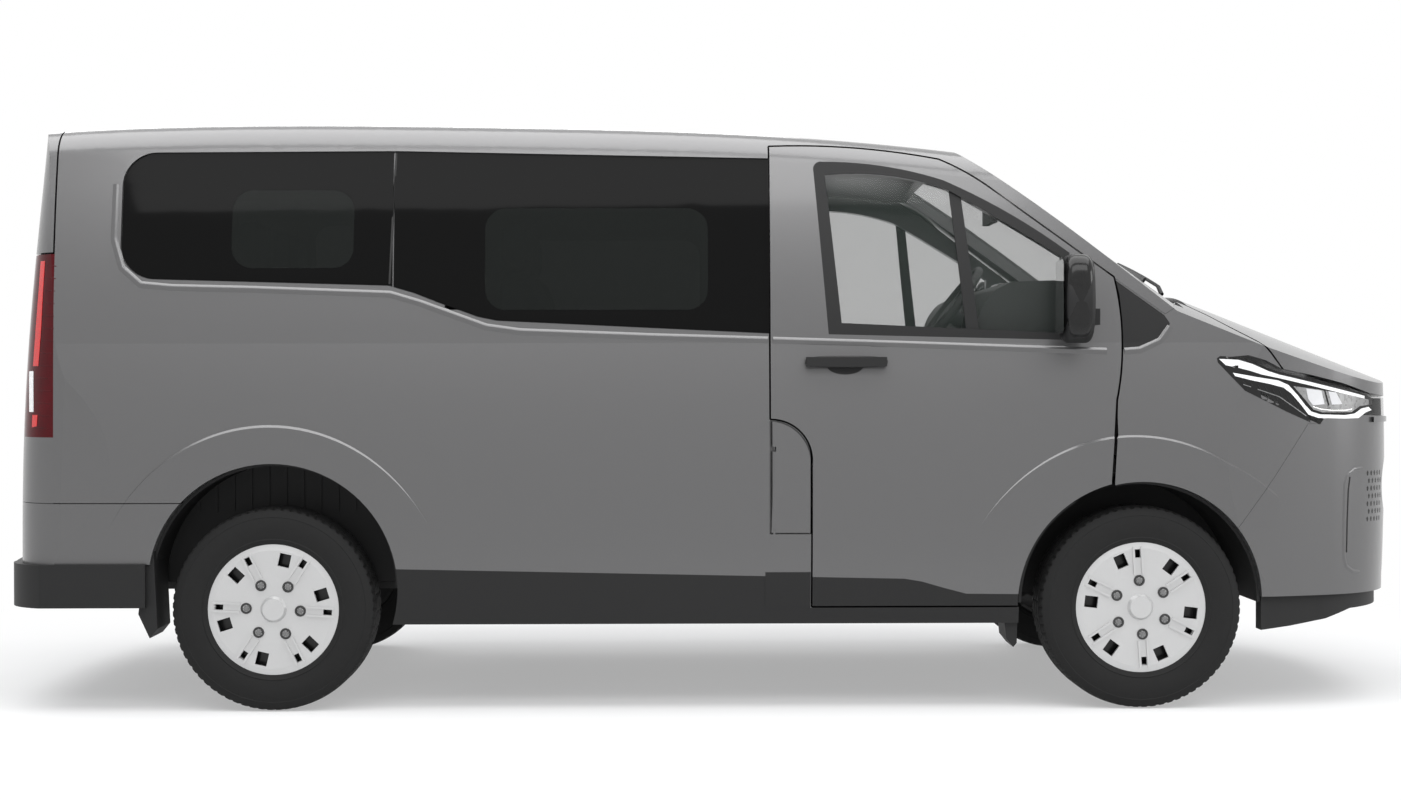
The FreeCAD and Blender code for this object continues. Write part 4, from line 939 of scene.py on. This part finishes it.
# %% Mirrors
mirror_low, mirror_high = (1.160, -1.178, 1.250), (1.272, -0.996, 1.532)
other_side(superellipsoid("mirror_shell_right", mirror_low, mirror_high, 3.4, gloss_black, "door_right",
                          "black_plastic", rings=28, around=48))
glass_x = mirror_low[0] - 0.0004
glass_outline = [(-1.163, 1.285), (-1.150, 1.268), (-1.020, 1.268), (-1.010, 1.285), (-1.010, 1.495),
                 (-1.022, 1.512), (-1.150, 1.512), (-1.163, 1.495)]
other_side(piece("mirror_glass_right", [(glass_x, y, z) for y, z in glass_outline],
                 [tuple(range(len(glass_outline)))], mirror_glass, "door_right", "tinted_glass"))
print("mirror", [round(b - a, 3) for a, b in zip(mirror_low, mirror_high)])

# %% [markdown]
# ## Wipers
# Each wiper is an arm and a thinner blade that rests on the glass. A straight bar would dip
# into the curved screen. So both are strips along short lines dropped onto the screen from
# above, and at the back onto the tailgate from behind, so that they ride with it.

# %% Wipers
screen = surface_of("windscreen", "cowl", "bonnet")
back = surface_of("tailgate_glass", "tailgate")
blade = rounded(0.010, 0.014, 0.006)
arm = rounded(0.016, 0.008, 0.004)
down, forward = Vector((0.0, 0.0, -1.0)), Vector((1.0, 0.0, 0.0))
clear_away = 4.0    # how far back along the ray it starts, to be outside the vehicle


def wiper(name, line, lift, section, tree, way, body):
    path = []
    for p in spread(line, 0.03):
        hit, normal, _, _ = tree.ray_cast(p - way * clear_away, way)
        if hit is not None:
            path.append((hit + normal * lift, normal if normal.dot(way) < 0 else -normal))
    return strip(name, path, section, plastic, body, "black_plastic")


for name, pivot, low_end, high_end in (("driver", (1.600, -0.600), (1.530, -0.640), (1.470, 0.020)),
                                       ("passenger", (1.640, -0.020), (1.560, -0.050), (1.500, 0.640))):
    middle = ((low_end[0] + high_end[0]) / 2, (low_end[1] + high_end[1]) / 2)
    wiper("wiper_blade_" + name, [(*low_end, 0), (*high_end, 0)], 0.006, blade, screen, down, "body")
    wiper("wiper_arm_" + name, [(*pivot, 0), (*middle, 0)], 0.016, arm, screen, down, "body")
wiper("wiper_blade_rear", [(0, -0.02, 1.245), (0, 0.36, 1.285)], 0.006, blade, back, forward, "tailgate")
wiper("wiper_arm_rear", [(0, -0.10, 1.205), (0, 0.18, 1.262)], 0.014, arm, back, forward, "tailgate")

# %% [markdown]
# ## Seats
# The packed seats are plain solids for weight and contact. The seats that show through the
# glass are padded: a cushion, a back and a head restraint, each a soft rounded form. Cloth
# could be simulated over foam, but behind dark glass its folds wouldn't be seen.

# %% Seats
floor_z = 0.560
seam = 0.006
fullness = {"cushion": 4.0, "back": 4.5, "head": 3.5}
cushion_rear, cushion_front, cushion_low, cushion_high = -0.050, 0.465, 0.245, 0.390
back_half_depth, back_half_height, back_x, back_z = 0.075, 0.34, -0.068, 0.605
back_lean = math.radians(-9.5)
head_rear, head_front, head_half, head_low, head_high = -0.178, -0.084, 0.130, 0.960, 1.120
base_length, base_inset, base_low, base_high = 0.38, 0.05, 0.001, 0.25


def lean_back(made, x):
    """Turns an upright back rest about its middle and sets it behind the cushion."""
    for v in made.data.vertices:
        px, pz = v.co.x, v.co.z
        v.co.x = x + back_x + px * math.cos(back_lean) + pz * math.sin(back_lean)
        v.co.z = floor_z + back_z - px * math.sin(back_lean) + pz * math.cos(back_lean)


def seat(name, x, y0, y1, places):
    """Padding over one packed seat unit, and the base that it stands on."""
    pitch = (y1 - y0) / places
    for i in range(places):
        a, b = y0 + pitch * i + seam, y0 + pitch * (i + 1) - seam
        middle = (a + b) / 2
        forms = (("cushion", (x + cushion_rear, a, floor_z + cushion_low),
                  (x + cushion_front, b, floor_z + cushion_high)),
                 ("back", (-back_half_depth, a, -back_half_height), (back_half_depth, b, back_half_height)),
                 ("head", (x + head_rear, middle - head_half, floor_z + head_low),
                  (x + head_front, middle + head_half, floor_z + head_high)))
        cushion, back_rest, head_rest = (
            superellipsoid("%s_%s%d" % (name, form, i), low, high, fullness[form], cloth, "body", "seat_cloth")
            for form, low, high in forms)
        lean_back(back_rest, x)
    return box(name + "_base", (x, y0 + base_inset, floor_z + base_low),
               (x + base_length, y0 + base_inset + (y1 - y0 - 2 * base_inset), floor_z + base_high), plastic,
               "body", "black_plastic")


driver = seat("driver_seat", 0.330, -0.720, -0.200, 1)
seat("passenger_seat", 0.330, -0.110, 0.740, 2)
middle_row = seat("middle_row", -0.560, -0.640, 0.640, 3)
rear_row = seat("rear_row", -1.500, -0.640, 0.640, 3)
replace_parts(driver, "front_seats")
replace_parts(middle_row, "middle_seats")
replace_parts(rear_row, "rear_seats")
print("bases", driver.name, middle_row.name, rear_row.name)

# %% [markdown]
# ## Studio
# A pale floor keeps the paint readable and holds the vehicle's shadow. More light would
# make a floor white, but it would bleach the paint too. So the floor glows faintly, only
# for the camera and for reflections, a little under the vehicle and fully further away.

# %% Floor
ground = mottled("studio_floor", 2.0, 2.0, grey(0.80), grey(0.83), Roughness=0.9)
bpy.ops.mesh.primitive_plane_add(size=60, location=(0, 0, -0.001))
floor = bpy.context.object
floor.name = "studio_floor"
floor.data.materials.append(ground.material)
floor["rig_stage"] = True


def white_rays(graph):
    """1 for a ray that should meet the white studio, 0 for one that gathers light."""
    seen, glossy, through = (graph.node("ShaderNodeLightPath", out="Is %s Ray" % kind)
                             for kind in ("Camera", "Glossy", "Transmission"))
    return seen.largest(glossy).largest(through)


x, y, _ = ground.place()
glow_x, glow_y = 0.36, 0.62    # one over the half axes of the oval where the glow starts to grow
glow_start, glow_full = 0.95, 1.9
near_share = 0.38
away = ((x * glow_x) ** 2.0 + (y * glow_y) ** 2.0).root()
white_share = white_rays(ground) * (away.ramp(glow_start, glow_full) * (1 - near_share) + near_share)
glow = ground.node("ShaderNodeEmission", {}, {"Color": (1, 1, 1, 1), "Strength": 1.0})
surface = ground.node("ShaderNodeMixShader", {}, {0: white_share, 1: Val(ground, ground.shader.outputs[0]), 2: glow})
ground.tree.links.new(surface.socket, ground.tree.nodes["Material Output"].inputs["Surface"])
print("floor nodes", len(ground.tree.nodes))

# %% [markdown]
# The world stands for the walls of the studio. It is white to the camera and to
# reflections, and dimmer as a light, so that the panels don't wash out. One even white
# would do for a matt object, but glass and paint need that difference.

# %% World
world = bpy.data.worlds.new("studio")
bpy.context.scene.world = world
world.use_nodes = True
sky = Graph(world.node_tree)
sky.tree.nodes.clear()
seen = sky.node("ShaderNodeBackground", {}, {"Color": (1, 1, 1, 1), "Strength": 1.0})
lit = sky.node("ShaderNodeBackground", {}, {"Color": (0.95, 0.97, 1.0, 1), "Strength": 0.6})
walls = sky.node("ShaderNodeMixShader", {}, {0: white_rays(sky), 1: lit, 2: seen})
sky.node("ShaderNodeOutputWorld", {}, {"Surface": walls})
print("world nodes", len(sky.tree.nodes))

# %% [markdown]
# A wide soft lamp above lights the roof and the tops of the panels, and the others lift the
# sides. Small lamps would give hard shadows and bright spots in the paint. Big rectangles
# give long even reflections, which is how a real studio shows the shape of a body.


# %% Lamps
def lamp(name, size, power, at, target):
    data = bpy.data.lights.new(name, "AREA")
    data.shape = "RECTANGLE"
    data.size, data.size_y = size
    data.energy = power
    made = bpy.data.objects.new(name, data)
    bpy.context.scene.collection.objects.link(made)
    made.location = at
    made.rotation_euler = (Vector(target) - Vector(at)).to_track_quat("-Z", "Y").to_euler()


lamp("top", (10.0, 4.5), 430, (-0.2, -1.2, 5.2), (-0.2, -0.6, 0.0))
lamp("key", (8.0, 2.0), 160, (0.5, -6.0, 5.0), (0, 0, 0.8))
lamp("fill", (6.0, 3.0), 140, (-2.0, 7.0, 5.0), (0, 0, 1.0))
lamp("front", (3.0, 2.5), 110, (8.0, -3.0, 2.6), (1.8, 0, 0.9))
print("watts", sum(light.energy for light in bpy.data.lights))

# %% [markdown]
# The camera stands square to the side at the height of a seated driver's chest, far enough
# off that the wheels look round. It could be aimed with a Track To constraint, but then it
# can't roll, so its yaw, pitch and roll are given as angles.

# %% Camera
camera_data = bpy.data.cameras.new("camera")
camera_data.lens = 58.03
camera_data.sensor_width = 36.0
camera_data.clip_end = 200.0
camera = bpy.data.objects.new("camera", camera_data)
bpy.context.scene.collection.objects.link(camera)
camera.location = (-0.1458, -8.5777, 1.1263)
yaw, pitch, roll = 0.0148, -0.0103, -0.0013
look = Vector((math.sin(yaw) * math.cos(pitch), math.cos(yaw) * math.cos(pitch), math.sin(pitch)))
camera.rotation_euler = look.to_track_quat("-Z", "Y").to_matrix().to_euler()
camera.rotation_euler.rotate_axis("Z", roll)
bpy.context.scene.camera = camera
bpy.context.scene.view_settings.view_transform = "Standard"
print("camera", [round(v, 2) for v in camera.location])

# %% [markdown]
# ## Size and finish
# A dressed model mustn't grow past the solids that it dresses. Looking at it wouldn't show
# a few millimetres, so the box round everything shown is measured and printed.

# %% Size and finish
low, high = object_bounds()
print("size", [round(b - a, 4) for a, b in zip(low, high)])
